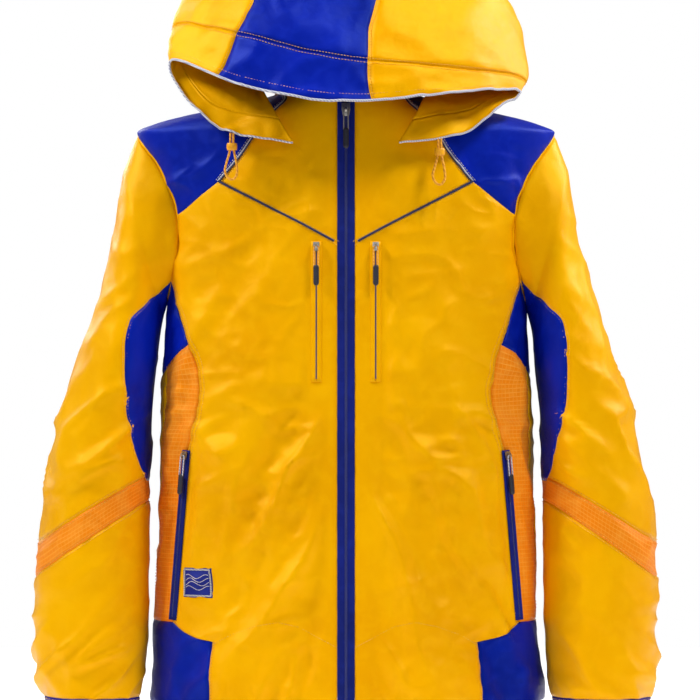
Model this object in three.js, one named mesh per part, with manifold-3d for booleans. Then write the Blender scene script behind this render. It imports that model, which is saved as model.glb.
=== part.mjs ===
// A hooded ski jacket, hanging open and filled out as if worn: shell panels, lining, hood, sleeves,
// zips with their sliders and pulls, and the cords and toggles of the hood.
// Millimetres, +Z up. The wearer looks along -Y and the wearer's left is +X.
// The origin is where the hanger loop carries the jacket, at the back of the neck.
import * as THREE from "three";
import { mergeVertices } from "three/addons/utils/BufferGeometryUtils.js";
import Module from "manifold-3d";

const wasm = await Module();
wasm.setup();
const V = (x, y, z) => new THREE.Vector3(x, y, z);
const RAD = Math.PI / 180;

// ---------------------------------------------------------------- driving dimensions
const fabric = 2.2; // a shell panel with its backing
const seamGap = 0.8; // between two panels that are sewn together
const liningFabric = 1.2;
const liningGap = 9.6; // between the shell's face and the lining's
const touch = 0.35; // clearance between pieces that rest on each other

const midDepth = -75; // the body's side line, behind the front and in front of the back
const roundness = 2.5; // of the body's cross-section: 2 is an ellipse
const hemZ = -699;
const neckZ = 4;
const collarTopZ = 50;
const frontTopY = -150; // the front edge at the collar's top
const frontHemY = -205; // the front edge at the hem

// Height, half-width and depth behind the side line of the body.
const bodyRows = [
  [hemZ, 228, 96],
  [-560, 221, 88],
  [-370, 215, 80],
  [-259, 209, 88],
  [-178, 207, 90],
  [-136, 212, 88],
  [-80, 228, 85],
  [-50, 241, 83],
  [-40, 243, 82],
  [-30, 222, 80],
  [-20, 184, 78],
  [-8, 124, 74],
  [0, 94, 71],
  [neckZ, 84, 70],
  [collarTopZ, 76, 64],
];

const armholeMid = -142;
const armholeHalfHeight = 98;
const armholeHalfDepth = 45;

// Outer and inner edge of a sleeve as seen from the front, its half depth and its middle's y.
const sleeveRows = [
  [259, -85, 213, -252, 56, -76],
  [272, -165, 218, -276, 64, -78],
  [292, -245, 222, -316, 68, -80],
  [325, -350, 227, -376, 68, -84],
  [345, -440, 229, -446, 66, -90],
  [360, -540, 229, -536, 62, -98],
  [359, -640, 231, -640, 57, -106],
  [350, -694, 238, -694, 52, -110],
  [342, -728, 246, -728, 46, -112],
];

const zipTapeWidth = 20;
const zipTape = 1.6;
const pocketTapeWidth = 12;
const chestZipX = 34;
const chestZipTop = -168;
const chestZipBottom = -330;
const handZipTop = [183, -408];
const handZipBottom = [199, -604];
const pullLength = 46;
const flapWide = 44; // the wind flap behind the main zip
const cordThick = 2.6;
const toggleSize = 10;

// The hood is rows of arches, from the brim over the crown to the neck seam behind. Each arch has
// five points on one side: neck edge, jaw, cheek, temple and top.
const hoodArches = [
  [[60, -176, -56], [140, -168, -40], [203, -140, 22], [112, -198, 4], [0, -214, -10]],
  [[86, -157, -12], [165, -130, 12], [204, -96, 72], [122, -168, 82], [0, -184, 78]],
  [[104, -108, 18], [168, -66, 60], [182, -52, 128], [112, -92, 176], [0, -104, 188]],
  [[92, -46, 18], [132, 4, 50], [150, 30, 100], [92, 32, 150], [0, 30, 164]],
  [[66, -14, 10], [98, 12, 34], [112, 36, 62], [68, 48, 84], [0, 52, 92]],
  [[46, -12.2, 12], [37, -8.6, 13], [28, -6, 13], [14, -4.6, 14], [0, -4, 14]],
];
const hoodRoll = 9 * RAD; // the empty hood leans to the wearer's left
const rollCentreZ = 20;
const hoodTwist = 0.52; // how far the empty hood turns, in steps across an arch
const brimShare = 0.62; // the brim band's width, as a share of the first row of arches

const COLORS = {
  yellow: 0xf5b301,
  blue: 0x0a1f9c,
  orange: 0xf28a1a,
  dark: 0x1b2036,
  metal: 0xb8b4aa,
  lining: 0x30343c,
};
const cloth = (color) =>
  new THREE.MeshStandardMaterial({ color: COLORS[color], roughness: 0.7, metalness: 0 });
const metal = new THREE.MeshStandardMaterial({ color: COLORS.metal, roughness: 0.35, metalness: 0.9 });

const jacket = new THREE.Group();
function add(name, geometry, material) {
  const mesh = new THREE.Mesh(geometry, material);
  mesh.name = name;
  jacket.add(mesh);
}

// ---------------------------------------------------------------- solids from surfaces
const lerp = (a, b, t) => a + (b - a) * t;

// A closed sheet: a grid of surface points and the same grid moved in by the thickness.
// point(i, j) gives [outer, inner]; a ring closes along i. Its faces are turned to point outwards.
function sheet(columns, rows, point, ring = false) {
  const across = ring ? columns : columns + 1;
  const outer = [];
  const inner = [];
  for (let j = 0; j <= rows; j++)
    for (let i = 0; i < across; i++) {
      const [o, n] = point(i, j);
      outer.push(o);
      inner.push(n);
    }
  const index = [];
  const at = (i, j) => (i % across) + j * across;
  const size = outer.length;
  const quad = (a, b, c, d) => index.push(a, b, c, a, c, d);
  for (let j = 0; j < rows; j++)
    for (let i = 0; i < columns; i++) {
      quad(at(i, j), at(i + 1, j), at(i + 1, j + 1), at(i, j + 1));
      quad(size + at(i, j), size + at(i, j + 1), size + at(i + 1, j + 1), size + at(i + 1, j));
    }
  for (let i = 0; i < columns; i++) {
    quad(at(i, 0), size + at(i, 0), size + at(i + 1, 0), at(i + 1, 0));
    quad(at(i, rows), at(i + 1, rows), size + at(i + 1, rows), size + at(i, rows));
  }
  if (!ring)
    for (let j = 0; j < rows; j++) {
      quad(at(0, j), at(0, j + 1), size + at(0, j + 1), size + at(0, j));
      quad(at(columns, j), size + at(columns, j), size + at(columns, j + 1), at(columns, j + 1));
    }
  const corners = [...outer, ...inner];
  let volume = 0;
  for (let k = 0; k < index.length; k += 3) {
    const [a, b, c] = [corners[index[k]], corners[index[k + 1]], corners[index[k + 2]]];
    volume += a.dot(b.clone().cross(c));
  }
  const faces = volume > 0 ? index : index.reverse();
  return new THREE.BufferGeometry().setFromPoints(corners).setIndex(faces);
}

// The surface's outward normal, by small steps along its two parameters.
function normalOf(surface, u, v, du, dv) {
  const a = surface(u + du, v).sub(surface(u - du, v));
  const b = surface(u, v + dv).sub(surface(u, v - dv));
  return a.cross(b).normalize();
}

const between = (a, b, columns) =>
  Array.from({ length: columns + 1 }, (_, i) => a.map((value, c) => lerp(value, b[c], i / columns)));
// A sewn panel: a grid of [u, v] on a surface, with its border drawn in by half a seam gap. lift
// moves it off the surface.
function sewn(surface, cells, options = {}) {
  const { side = 1, thick = fabric, lift = 0, du = 0.01, dv = 1, turn = 1, gap = seamGap } = options;
  const rows = cells.length - 1;
  const columns = cells[0].length - 1;
  const grid = cells.flat().map(([u, v]) => {
    const n = normalOf(surface, u, v, du, dv).multiplyScalar(turn);
    return { p: surface(u, v).addScaledVector(n, lift), n };
  });
  const at = (i, j) => grid[i + j * (columns + 1)];
  const drawn = (i, j) => {
    const here = at(i, j).p.clone();
    const step = (k, l) => at(k, l).p.clone().sub(at(i, j).p).normalize().multiplyScalar(gap / 2);
    if (i === 0) here.add(step(1, j));
    if (i === columns) here.add(step(columns - 1, j));
    if (j === 0) here.add(step(i, 1));
    if (j === rows) here.add(step(i, rows - 1));
    return here;
  };
  const point = (i, j) => {
    const o = drawn(i, j);
    const n = o.clone().addScaledVector(at(i, j).n, -thick);
    if (side < 0) [o, n].forEach((p) => (p.x = -p.x));
    return [o, n];
  };
  return sheet(columns, rows, point);
}
// The same between two edges, each a list of as many [u, v].
const panel = (surface, edgeA, edgeB, columns, options) =>
  sewn(surface, edgeA.map((a, j) => between(a, edgeB[j], columns)), options);

// ---------------------------------------------------------------- the body's surface
function rowAt(table, key) {
  let k = 1;
  while (k < table.length - 1 && key > table[k][0]) k++;
  const [low, high] = [table[k - 1], table[k]];
  const t = (key - low[0]) / (high[0] - low[0]);
  return low.map((value, c) => lerp(value, high[c], t));
}
const frontY = (z) => lerp(frontHemY, frontTopY, (z - hemZ) / (collarTopZ - hemZ));
function bodySize(z) {
  const [, width, back] = rowAt(bodyRows, z);
  return { width, front: midDepth - frontY(z), back };
}
// turn is the angle from the front edge round towards the back.
function body(turn, z) {
  const { width, front, back } = bodySize(z);
  const depth = Math.cos(turn) > 0 ? front : back;
  const wide = Math.abs(Math.sin(turn) / width) ** roundness;
  const deep = Math.abs(Math.cos(turn) / depth) ** roundness;
  const reach = (wide + deep) ** (-1 / roundness);
  return V(reach * Math.sin(turn), midDepth - reach * Math.cos(turn), z);
}
// The turn at which the body is x wide (front of the side line), or dy in front of that line.
function turnAtX(x, z) {
  const { width, front } = bodySize(z);
  return Math.atan2(x, front * (1 - (x / width) ** roundness) ** (1 / roundness));
}
function turnAtDepth(dy, z) {
  const { width, front, back } = bodySize(z);
  const share = Math.abs(dy / (dy > 0 ? front : back));
  return Math.atan2(width * (1 - share ** roundness) ** (1 / roundness), dy);
}
const seam = (...points) => points.map(([x, z]) => [turnAtX(x, z), z]);
const mirrored = (edge) => edge.map(([turn, z]) => [Math.PI - turn, z]);
const armhole = (degrees) => {
  const z = armholeMid + armholeHalfHeight * Math.cos(degrees * RAD);
  return [turnAtDepth(armholeHalfDepth * Math.sin(degrees * RAD), z), z];
};
const arc = (from, to, steps) =>
  Array.from({ length: steps + 1 }, (_, k) => armhole(lerp(from, to, k / steps)));

// ---------------------------------------------------------------- the body's seams
const yokeCorner = 87; // where yoke and front meet on the armhole, in degrees from its top
const insertCorner = 136; // where front and underarm insert meet on it
const frontX = zipTapeWidth / 2;
const yokeTipX = 146; // where the chest seam meets the yoke
const yokeTipZ = -99;
const chestSeamZ = -170; // where the chest seam meets the zip
const insertTipZ = -287; // the insert's lowest point on the front seam
const insertLowZ = -322; // its lower edge at the side
const hemSideZ = -627; // the top of the hem's side panel
const hemSideX = 154;
const stripShare = 0.55; // of the way from the front seam to the side, at the strip's top

const hemCurve = seam([hemSideX + 2, hemZ], [hemSideX, -660], [hemSideX, hemSideZ], [180, -621]);
const seamLow = seam([200, -606], [196, -550], [193, -500], [188, -450], [182, -406], [172, -374]);
const seamHigh = seam([168, -333], [179, insertTipZ]);
const yokeLow = seam([188, -132], [172, -119]);
const yokeEdge = seam([yokeTipX, yokeTipZ], [122, -70], [102, -40], [84, -18], [70, -4]);
yokeEdge.push([54 * RAD, neckZ]);
const zipLevels = (...levels) => seam(...levels.map((z) => [frontX, z]));

// The underarm insert's lower edge, and its points: the seam, the strip's corner, then columns.
const tipTurn = seamHigh[1][0];
const halfTurn = 90 * RAD;
const sideColumns = 8;
const insertZ = (turn) => {
  const share = 1 - Math.abs(turn - halfTurn) / (halfTurn - tipTurn);
  return lerp(insertTipZ, insertLowZ, Math.sin(share * halfTurn));
};
const stripTop = lerp(tipTurn, halfTurn, stripShare);
const insertTurns = [tipTurn];
const backTip = 2 * halfTurn - tipTurn;
for (let i = 0; i <= sideColumns; i++) insertTurns.push(lerp(stripTop, backTip, i / sideColumns));
const insertEdge = insertTurns.map((turn) => [turn, insertZ(turn)]);

const neckArc = [72, 90, 108].map((degrees) => [degrees * RAD, neckZ]);

for (const side of [1, -1]) {
  const hand = side > 0 ? "left" : "right";

  const frontOuter = [
    ...hemCurve,
    ...seamLow,
    ...seamHigh,
    ...arc(insertCorner, yokeCorner, 3),
    ...yokeLow,
    ...seam([yokeTipX + 2, yokeTipZ - 2]),
  ];
  const chestSeam = seam([45, -151], [80, -133], [115, -115]);
  const frontInner = [
    ...zipLevels(hemZ, -675, -650, -622, -590, -550, -500, -450, -406, -374, -333, -287),
    ...zipLevels(-250, -225, chestSeamZ),
    ...chestSeam,
    ...seam([yokeTipX - 6, yokeTipZ - 4]),
  ];
  add(`front_${hand}`, panel(body, frontInner, frontOuter, 7, { side }), cloth("yellow"));

  const chestInner = zipLevels(chestSeamZ + 3, -162, -150, -130, -110, -80, -50, -25, -8, neckZ);
  const chestOuter = [...seam([frontX + 4, chestSeamZ + 3]), ...chestSeam, ...yokeEdge];
  add(`chest_${hand}`, panel(body, chestInner, chestOuter, 5, { side }), cloth("yellow"));

  const yokeHalf = [...yokeLow, ...yokeEdge];
  const yokeInner = [...yokeHalf, ...neckArc, ...mirrored(yokeHalf).reverse()];
  const yokeOuter = arc(yokeCorner - 3, 3 - yokeCorner, yokeInner.length - 1);
  add(`shoulder_yoke_${hand}`, panel(body, yokeInner, yokeOuter, 4, { side }), cloth("blue"));

  const insertTop = arc(insertCorner, 360 - insertCorner, insertEdge.length - 1);
  add(`underarm_insert_${hand}`, panel(body, insertEdge, insertTop, 4, { side }), cloth("blue"));

  const stripInner = [...seamLow, ...seamHigh].reverse();
  const stripOuter = stripInner.map(([turn, z], k) => [lerp(turn, halfTurn, stripShare + 0.03 * k), z]);
  stripOuter[0] = insertEdge[1];
  add(`side_strip_${hand}`, panel(body, stripOuter, stripInner, 3, { side }), cloth("orange"));

  const sideBack = mirrored(stripInner);
  const sideCells = stripOuter.map((front, k) => between(front, sideBack[k], sideColumns));
  sideCells[0] = insertEdge.slice(1);
  add(`side_panel_${hand}`, sewn(body, sideCells, { side }), cloth("yellow"));

  const hemEdge = [...hemCurve, seamLow[0]];
  const hemCells = hemEdge.map((front, k) => between(front, mirrored(hemEdge)[k], sideColumns));
  add(`hem_side_${hand}`, sewn(body, hemCells, { side }), cloth("blue"));
}

// The back is one panel from the hem to the neck.
const backColumns = 10;
const backEdge = [
  ...mirrored([...hemCurve, ...seamLow, ...seamHigh]),
  ...arc(-insertCorner, -yokeCorner, 3),
  ...mirrored([...yokeLow, ...yokeEdge]),
];
const backOther = backEdge.map(([turn, z]) => [2 * Math.PI - turn, z]);
add("back", panel(body, backEdge, backOther, backColumns), cloth("yellow"));

// ---------------------------------------------------------------- collar, lining, skirt, loop
const collarLevels = [neckZ, 20, 36, collarTopZ];
const collarCells = collarLevels.map((z) => {
  const front = between(seam([frontX, z])[0], [54 * RAD, z], 5);
  const half = [...front, ...neckArc.map(([turn]) => [turn, z])];
  const behind = between([126 * RAD, z], [234 * RAD, z], backColumns);
  const other = half.slice().reverse().map(([turn]) => [2 * Math.PI - turn, z]);
  return [...half, ...behind, ...other];
});
add("collar", sewn(body, collarCells), cloth("yellow"));

// The lining hangs inside from below the armholes to above the hem, open at the front edge.
const liningLevels = [hemZ + 24, -560, -440, -370, -259];
const liningFront = liningLevels.map((z) => seam([frontX + 24, z])[0]);
const liningEnd = liningFront.map(([turn, z]) => [2 * Math.PI - turn, z]);
const inside = { lift: -(fabric + liningGap), thick: liningFabric };
add("lining", panel(body, liningFront, liningEnd, 24, inside), cloth("lining"));

const skirtLevels = [-600, -560, -530];
const skirtFront = skirtLevels.map((z) => seam([frontX + 24, z])[0]);
const skirtEnd = skirtFront.map(([turn, z]) => [2 * Math.PI - turn, z]);
const insideLining = { lift: -(fabric + liningGap + liningFabric + 4 * touch), thick: liningFabric };
add("powder_skirt", panel(body, skirtFront, skirtEnd, 24, insideLining), cloth("blue"));

const loopWide = 54;
const loopHigh = 16;
const loopStrap = 4;
const loopOutline = new THREE.Shape();
loopOutline.absellipse(0, 0, loopWide / 2, loopHigh / 2, 0, 2 * Math.PI);
const loopHole = new THREE.Path();
loopHole.absellipse(0, 0, loopWide / 2 - loopStrap, loopHigh / 2 - loopStrap, 0, 2 * Math.PI);
loopOutline.holes.push(loopHole);
const loop = new THREE.ExtrudeGeometry(loopOutline, {
  depth: liningFabric, bevelEnabled: false, curveSegments: 10,
});
const loopY = body(Math.PI, neckZ + loopHigh).y - fabric - touch - 1.6;
add("hanger_loop", loop.rotateX(90 * RAD).translate(0, loopY, neckZ + loopHigh / 2 + 2), cloth("dark"));

// ---------------------------------------------------------------- hood
// A smooth line through points, at t from 0 to the last point's number.
function through(points, t) {
  const k = Math.min(Math.max(Math.floor(t), 0), points.length - 2);
  const f = t - k;
  const p = (i) => points[Math.min(Math.max(i, 0), points.length - 1)];
  const [a, b, c, d] = [p(k - 1), p(k), p(k + 1), p(k + 2)];
  return b.map((_, i) => {
    const m = (c[i] - a[i]) / 2;
    const n = (d[i] - b[i]) / 2;
    const g = 1 - f;
    return g * g * (1 + 2 * f) * b[i] + f * f * (3 - 2 * f) * c[i] + f * g * g * m - f * f * g * n;
  });
}
// across runs from one neck edge (0) over the top (4) to the other (8), along from brim to neck.
function hood(across, along) {
  const arches = hoodArches.map((half) => {
    const other = half.slice(0, 4).reverse().map(([x, y, z]) => [-x, y, z]);
    return through([...half, ...other], across);
  });
  const [x, y, z] = through(arches, along);
  const lean = Math.min(1, Math.max(0, (z + 10) / 60));
  const tilt = hoodRoll * lean;
  const c = Math.cos(tilt);
  const s = Math.sin(tilt);
  return V(x * c + (z - rollCentreZ) * s, y, rollCentreZ - x * s + (z - rollCentreZ) * c);
}
// The blue middle panel's half-width, and its middle, which the hood's twist moves to one side.
const centreHalf = (along) => (along < 1 ? lerp(0.78, 0.55, along) : 0.55);
const centreMid = (along) => 4 + hoodTwist * (1 - along / 5);
const alongSteps = (from, to, steps) => between([from], [to], steps).map(([along]) => along);
const hoodTail = 4.97; // the last arch closes on the neck seam
const hoodPieces = [
  ["hood_brim", 0, brimShare, 2],
  ["hood", brimShare, hoodTail, 12],
];
for (const [name, from, to, steps] of hoodPieces) {
  const rows = alongSteps(from, to, steps);
  const inner = rows.map((a) => [centreMid(a) - centreHalf(a), a]);
  const outer = rows.map((a) => [centreMid(a) + centreHalf(a), a]);
  const options = { du: 0.02, dv: 0.02, turn: -1 };
  add(`${name}_centre`, panel(hood, inner, outer, 4, options), cloth("blue"));
  const leftEdge = rows.map((a) => [0, a]);
  const rightEdge = rows.map((a) => [8, a]);
  add(`${name}_left`, panel(hood, leftEdge, inner, 7, options), cloth("yellow"));
  add(`${name}_right`, panel(hood, outer, rightEdge, 7, options), cloth("yellow"));
}

// ---------------------------------------------------------------- sleeves
const sleeveSides = 16;
const sleeveRowStep = 80; // a usual distance between two rows of the sleeve
function sleeve(angle, along) {
  const ring = (row) => {
    const [ox, oz, ix, iz, deep, y] = row;
    const c = Math.cos(angle);
    return V(lerp(ix, ox, (1 + c) / 2), y - deep * Math.sin(angle), lerp(iz, oz, (1 + c) / 2));
  };
  if (along >= 1) return ring(rowAt(sleeveRows.map((row, k) => [k + 1, ...row]), along).slice(1));
  const [turn, z] = armhole(angle / RAD);
  const start = body(turn, z).addScaledVector(normalOf(body, turn, z, 0.01, 1), seamGap);
  return start.lerp(ring(sleeveRows[0]), Math.max(along, 0));
}
// A band of the sleeve between two edges, each given as its place along the sleeve by angle.
function band(side, from, to, rows) {
  const drawIn = seamGap / 2 / sleeveRowStep;
  return sheet(
    sleeveSides,
    rows,
    (i, j) => {
      const angle = (2 * Math.PI * i) / sleeveSides;
      const [low, high] = [from(angle), to(angle)];
      const inset = (j === 0) * drawIn - (j === rows) * drawIn;
      const along = lerp(low, high, j / rows) + inset;
      const n = normalOf(sleeve, angle, Math.max(along, 0.03), 0.02, 0.02);
      const o = sleeve(angle, along);
      if (n.dot(o.clone().sub(sleeve(angle + Math.PI, along))) < 0) n.negate();
      const p = o.clone().addScaledVector(n, -fabric);
      if (side < 0) [o, p].forEach((q) => (q.x = -q.x));
      return [o, p];
    },
    true,
  );
}
const bandTop = (angle) => 5.33 + 0.43 * Math.cos(angle);
const bandLow = (angle) => 5.7 + 0.45 * Math.cos(angle);
const cuffStart = 8;
for (const side of [1, -1]) {
  const hand = side > 0 ? "left" : "right";
  add(`sleeve_upper_${hand}`, band(side, () => -0.005, bandTop, 7), cloth("yellow"));
  add(`sleeve_band_${hand}`, band(side, bandTop, bandLow, 1), cloth("orange"));
  add(`sleeve_lower_${hand}`, band(side, bandLow, () => cuffStart, 3), cloth("yellow"));
  add(`cuff_${hand}`, band(side, () => cuffStart, () => 9, 1), cloth("blue"));
  // The cuff's tab lies on its outer side, a little above its surface.
  const tabRows = [8.3, 8.55, 8.8].map((a) => [-0.2, a]);
  const tabEnd = [8.3, 8.55, 8.8].map((a) => [1.7, a]);
  const tab = panel(sleeve, tabRows, tabEnd, 6, {
    side, du: 0.02, dv: 0.02, lift: touch + fabric + 0.6, thick: fabric,
  });
  add(`cuff_tab_${hand}`, tab, cloth("blue"));
}

// ---------------------------------------------------------------- zips
function manifoldOf(geometry) {
  const bare = geometry.clone();
  bare.deleteAttribute("normal");
  bare.deleteAttribute("uv");
  const merged = mergeVertices(bare, 1e-3);
  return new wasm.Manifold(
    new wasm.Mesh({
      numProp: 3,
      vertProperties: merged.attributes.position.array,
      triVerts: new Uint32Array(merged.index.array),
    }),
  );
}
function geometryOf(solid) {
  const { vertProperties, triVerts } = solid.getMesh();
  const geometry = new THREE.BufferGeometry();
  geometry.setAttribute("position", new THREE.BufferAttribute(vertProperties, 3));
  geometry.setIndex(new THREE.BufferAttribute(triVerts, 1));
  return geometry;
}

// A frame on the cloth: x across, y into the cloth, z up along the zip.
function zipFrame(low, high, outward) {
  const up = high.clone().sub(low).normalize();
  const into = outward.clone().negate();
  into.addScaledVector(up, -into.dot(up)).normalize();
  const across = into.clone().cross(up);
  return new THREE.Matrix4().makeBasis(across, into, up);
}

const sliderPlate = 2.4;
const bailWidth = 2;
const bailInside = 1.9; // half the room for the pull's bar
const bailWall = 1;
const barSize = 1.7;
const pivotOut = sliderPlate + bailInside - 0.2; // from the tape's face to the pull's bar

function sliderSolid(width, length) {
  const outline = new THREE.Shape();
  outline.moveTo(-width / 2, length / 2);
  outline.lineTo(-width / 2, 0);
  outline.lineTo(-width / 3, -length / 2);
  outline.lineTo(width / 3, -length / 2);
  outline.lineTo(width / 2, 0);
  outline.lineTo(width / 2, length / 2);
  outline.closePath();
  const plate = new THREE.ExtrudeGeometry(outline, { depth: sliderPlate, bevelEnabled: false });
  plate.rotateX(90 * RAD); // the outline lies in x and z, and its depth runs out of the cloth
  const arch = new THREE.Shape();
  const far = bailInside + bailWall;
  arch.absellipse(0, 0, far, far, 0, 2 * Math.PI);
  const eye = new THREE.Path();
  eye.absellipse(0, 0, bailInside, bailInside, 0, 2 * Math.PI);
  arch.holes.push(eye);
  const bail = new THREE.ExtrudeGeometry(arch, { depth: bailWidth, bevelEnabled: false, curveSegments: 6 });
  bail.translate(0, 0, -bailWidth / 2).rotateY(90 * RAD).translate(0, -pivotOut, 0);
  return manifoldOf(plate).add(manifoldOf(bail));
}
function pullSolid(length) {
  const frame = 6.4;
  const eyeWide = bailWidth + 2 * touch + 0.2;
  const outline = new THREE.Shape();
  outline.moveTo(-frame / 2, barSize / 2);
  outline.lineTo(-frame / 2, -length * 0.45);
  outline.lineTo(frame / 2, -length * 0.45);
  outline.lineTo(frame / 2, barSize / 2);
  outline.closePath();
  const eye = new THREE.Path();
  eye.moveTo(-eyeWide / 2, -barSize / 2);
  eye.lineTo(-eyeWide / 2, -length * 0.4);
  eye.lineTo(eyeWide / 2, -length * 0.4);
  eye.lineTo(eyeWide / 2, -barSize / 2);
  outline.holes.push(eye);
  const cord = new THREE.ExtrudeGeometry(outline, { depth: barSize, bevelEnabled: false });
  cord.translate(0, 0, -barSize / 2).rotateX(90 * RAD);
  const grip = new THREE.CapsuleGeometry(3.4, length * 0.45 - 4, 3, 10);
  grip.rotateX(90 * RAD).scale(1, 0.62, 1).translate(0, 0, -length * 0.7);
  return manifoldOf(cord).add(manifoldOf(grip));
}

// A zip's tape, slider and pull, from its low end to its high end on the cloth.
function zip(name, low, high, outward, { width, tape, lift, sliderWidth, sliderLength, from }) {
  const turn = zipFrame(low, high, outward);
  const length = high.distanceTo(low);
  const place = (geometry, up, out) => {
    const origin = high.clone().sub(low).normalize().multiplyScalar(up).add(low);
    return geometry.applyMatrix4(turn.clone().setPosition(origin.addScaledVector(outward, out)));
  };
  const strip = new THREE.BoxGeometry(width, tape, length);
  add(`${name}_tape`, place(strip, length / 2, lift + tape / 2), cloth("blue"));
  const seat = lift + tape + touch;
  add(`${name}_slider`, place(geometryOf(sliderSolid(sliderWidth, sliderLength)), from, seat), metal);
  const pull = geometryOf(pullSolid(pullLength)).translate(0, -pivotOut, 0);
  add(`${name}_pull`, place(pull, from, seat), cloth("dark"));
}

const mainLow = V(0, frontY(hemZ), hemZ);
const mainHigh = V(0, frontY(collarTopZ), collarTopZ);
const frontSlope = mainHigh.clone().sub(mainLow).normalize();
const frontOut = V(0, -frontSlope.z, frontSlope.y);
zip("main_zip", mainLow, mainHigh, frontOut, {
  width: zipTapeWidth, tape: zipTape, lift: -zipTape, sliderWidth: 10, sliderLength: 15, from: 684,
});
const flapLow = hemZ + 10;
const flapHigh = neckZ - 16;
const flapMid = (flapLow + flapHigh) / 2;
const flap = new THREE.BoxGeometry(flapWide, liningFabric, flapHigh - flapLow);
flap.applyMatrix4(zipFrame(mainLow, mainHigh, frontOut));
flap.translate(0, frontY(flapMid) + fabric + 2 * touch + liningFabric / 2, flapMid);
add("storm_flap", flap, cloth("blue"));

for (const side of [1, -1]) {
  const hand = side > 0 ? "left" : "right";
  const mirror = (p) => V(side * p.x, p.y, p.z);
  const onBody = (x, z) => mirror(body(turnAtX(x, z), z));
  const outAt = (x, z) => mirror(normalOf(body, turnAtX(x, z), z, 0.01, 1));
  const pocket = { width: pocketTapeWidth, tape: 1.2, sliderWidth: 7, sliderLength: 10 };
  const chestOut = outAt(chestZipX, (chestZipTop + chestZipBottom) / 2);
  const chest = { ...pocket, lift: touch, from: chestZipTop - chestZipBottom - 6 };
  const chestEnds = [onBody(chestZipX, chestZipBottom), onBody(chestZipX, chestZipTop)];
  zip(`chest_zip_${hand}`, ...chestEnds, chestOut, chest);
  const handOut = outAt((handZipTop[0] + handZipBottom[0]) / 2, (handZipTop[1] + handZipBottom[1]) / 2);
  const handZip = { ...pocket, lift: 3 * touch, from: handZipTop[1] - handZipBottom[1] - 6 };
  zip(`hand_zip_${hand}`, onBody(...handZipBottom), onBody(...handZipTop), handOut, handZip);
}

// ---------------------------------------------------------------- hood cords and toggles
// Each cord leaves the hood's edge, runs through its toggle, and comes back in a loop.
const cordOff = -3 * touch

for (const side of [1, -1]) {
  const hand = side > 0 ? "left" : "right";
  const across = side > 0 ? 0.62 : 7.12; // the twisted hood brings one cord lower and nearer
  const exit = hood(across, 0).add(V(0, -cordThick / 2 - cordOff, 0));
  const route = [
    [-1.6, 0, 0], [-1.8, -2, -12], [-2.6, -3, -22], [-6, -3, -34], [-8, -3, -44], [-4, -3, -52],
    [2, -3, -53], [6, -3, -46], [5, -3, -34], [2.6, -3, -22], [1.8, -2, -12], [1.6, 0, 0],
  ].map(([x, y, z]) => exit.clone().add(V(x, y, z)));
  const section = new THREE.Shape();
  section.absarc(0, 0, cordThick / 2, 0, 2 * Math.PI);
  const cord = new THREE.ExtrudeGeometry(section, {
    steps: 26, curveSegments: 4, bevelEnabled: false, extrudePath: new THREE.CatmullRomCurve3(route),
  });
  add(`hood_cord_${hand}`, cord, cloth("orange"));
  const ball = new THREE.SphereGeometry(toggleSize / 2 + 1, 12, 8).scale(1, 0.8, 1);
  const bore = new THREE.CylinderGeometry(cordThick + touch + 1.4, cordThick + touch + 1.4, 20, 10);
  const hollow = manifoldOf(bore.rotateX(90 * RAD).scale(1, 0.72, 1));
  const toggle = geometryOf(manifoldOf(ball).subtract(hollow));
  add(`hood_toggle_${hand}`, toggle.translate(exit.x, exit.y - 2.2, exit.z - 16), cloth("yellow"));
}

export default jacket;
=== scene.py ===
# %% [markdown]
# A hooded ski jacket, hanging closed and filled out as if worn. The real one is cut from flat
# pieces of satin cloth, sewn edge to edge, with zips, piping, cords and a lined hood. Here each
# cut piece becomes its own thick sheet on a smooth surface, so seams fall where two pieces meet.
# Lengths are written in millimetres, as a pattern cutter does, and turned to metres at the end.

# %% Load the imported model
import math

import bpy
import numpy as np
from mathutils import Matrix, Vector


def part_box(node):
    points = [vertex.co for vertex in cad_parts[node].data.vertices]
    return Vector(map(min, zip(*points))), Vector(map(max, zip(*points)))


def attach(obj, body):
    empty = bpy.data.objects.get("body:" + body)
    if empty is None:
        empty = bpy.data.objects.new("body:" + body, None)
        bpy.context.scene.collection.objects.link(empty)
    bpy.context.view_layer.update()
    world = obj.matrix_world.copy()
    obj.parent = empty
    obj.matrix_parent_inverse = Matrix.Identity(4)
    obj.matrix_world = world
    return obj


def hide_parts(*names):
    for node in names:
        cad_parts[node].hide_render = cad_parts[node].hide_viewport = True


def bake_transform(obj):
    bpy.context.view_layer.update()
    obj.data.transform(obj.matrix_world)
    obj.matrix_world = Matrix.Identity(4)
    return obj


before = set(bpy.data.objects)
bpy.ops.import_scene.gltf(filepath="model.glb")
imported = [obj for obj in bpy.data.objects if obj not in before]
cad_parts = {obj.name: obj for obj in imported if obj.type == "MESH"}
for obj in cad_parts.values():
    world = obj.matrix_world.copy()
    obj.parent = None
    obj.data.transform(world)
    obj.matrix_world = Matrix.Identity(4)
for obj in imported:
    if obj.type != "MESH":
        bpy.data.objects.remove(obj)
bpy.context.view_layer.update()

MM = 0.001

# %% [markdown]
# The camera stands level in front of the chest, a long way off, so the jacket shows almost
# without perspective. It comes first, because the cords are measured against what it sees.

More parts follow.
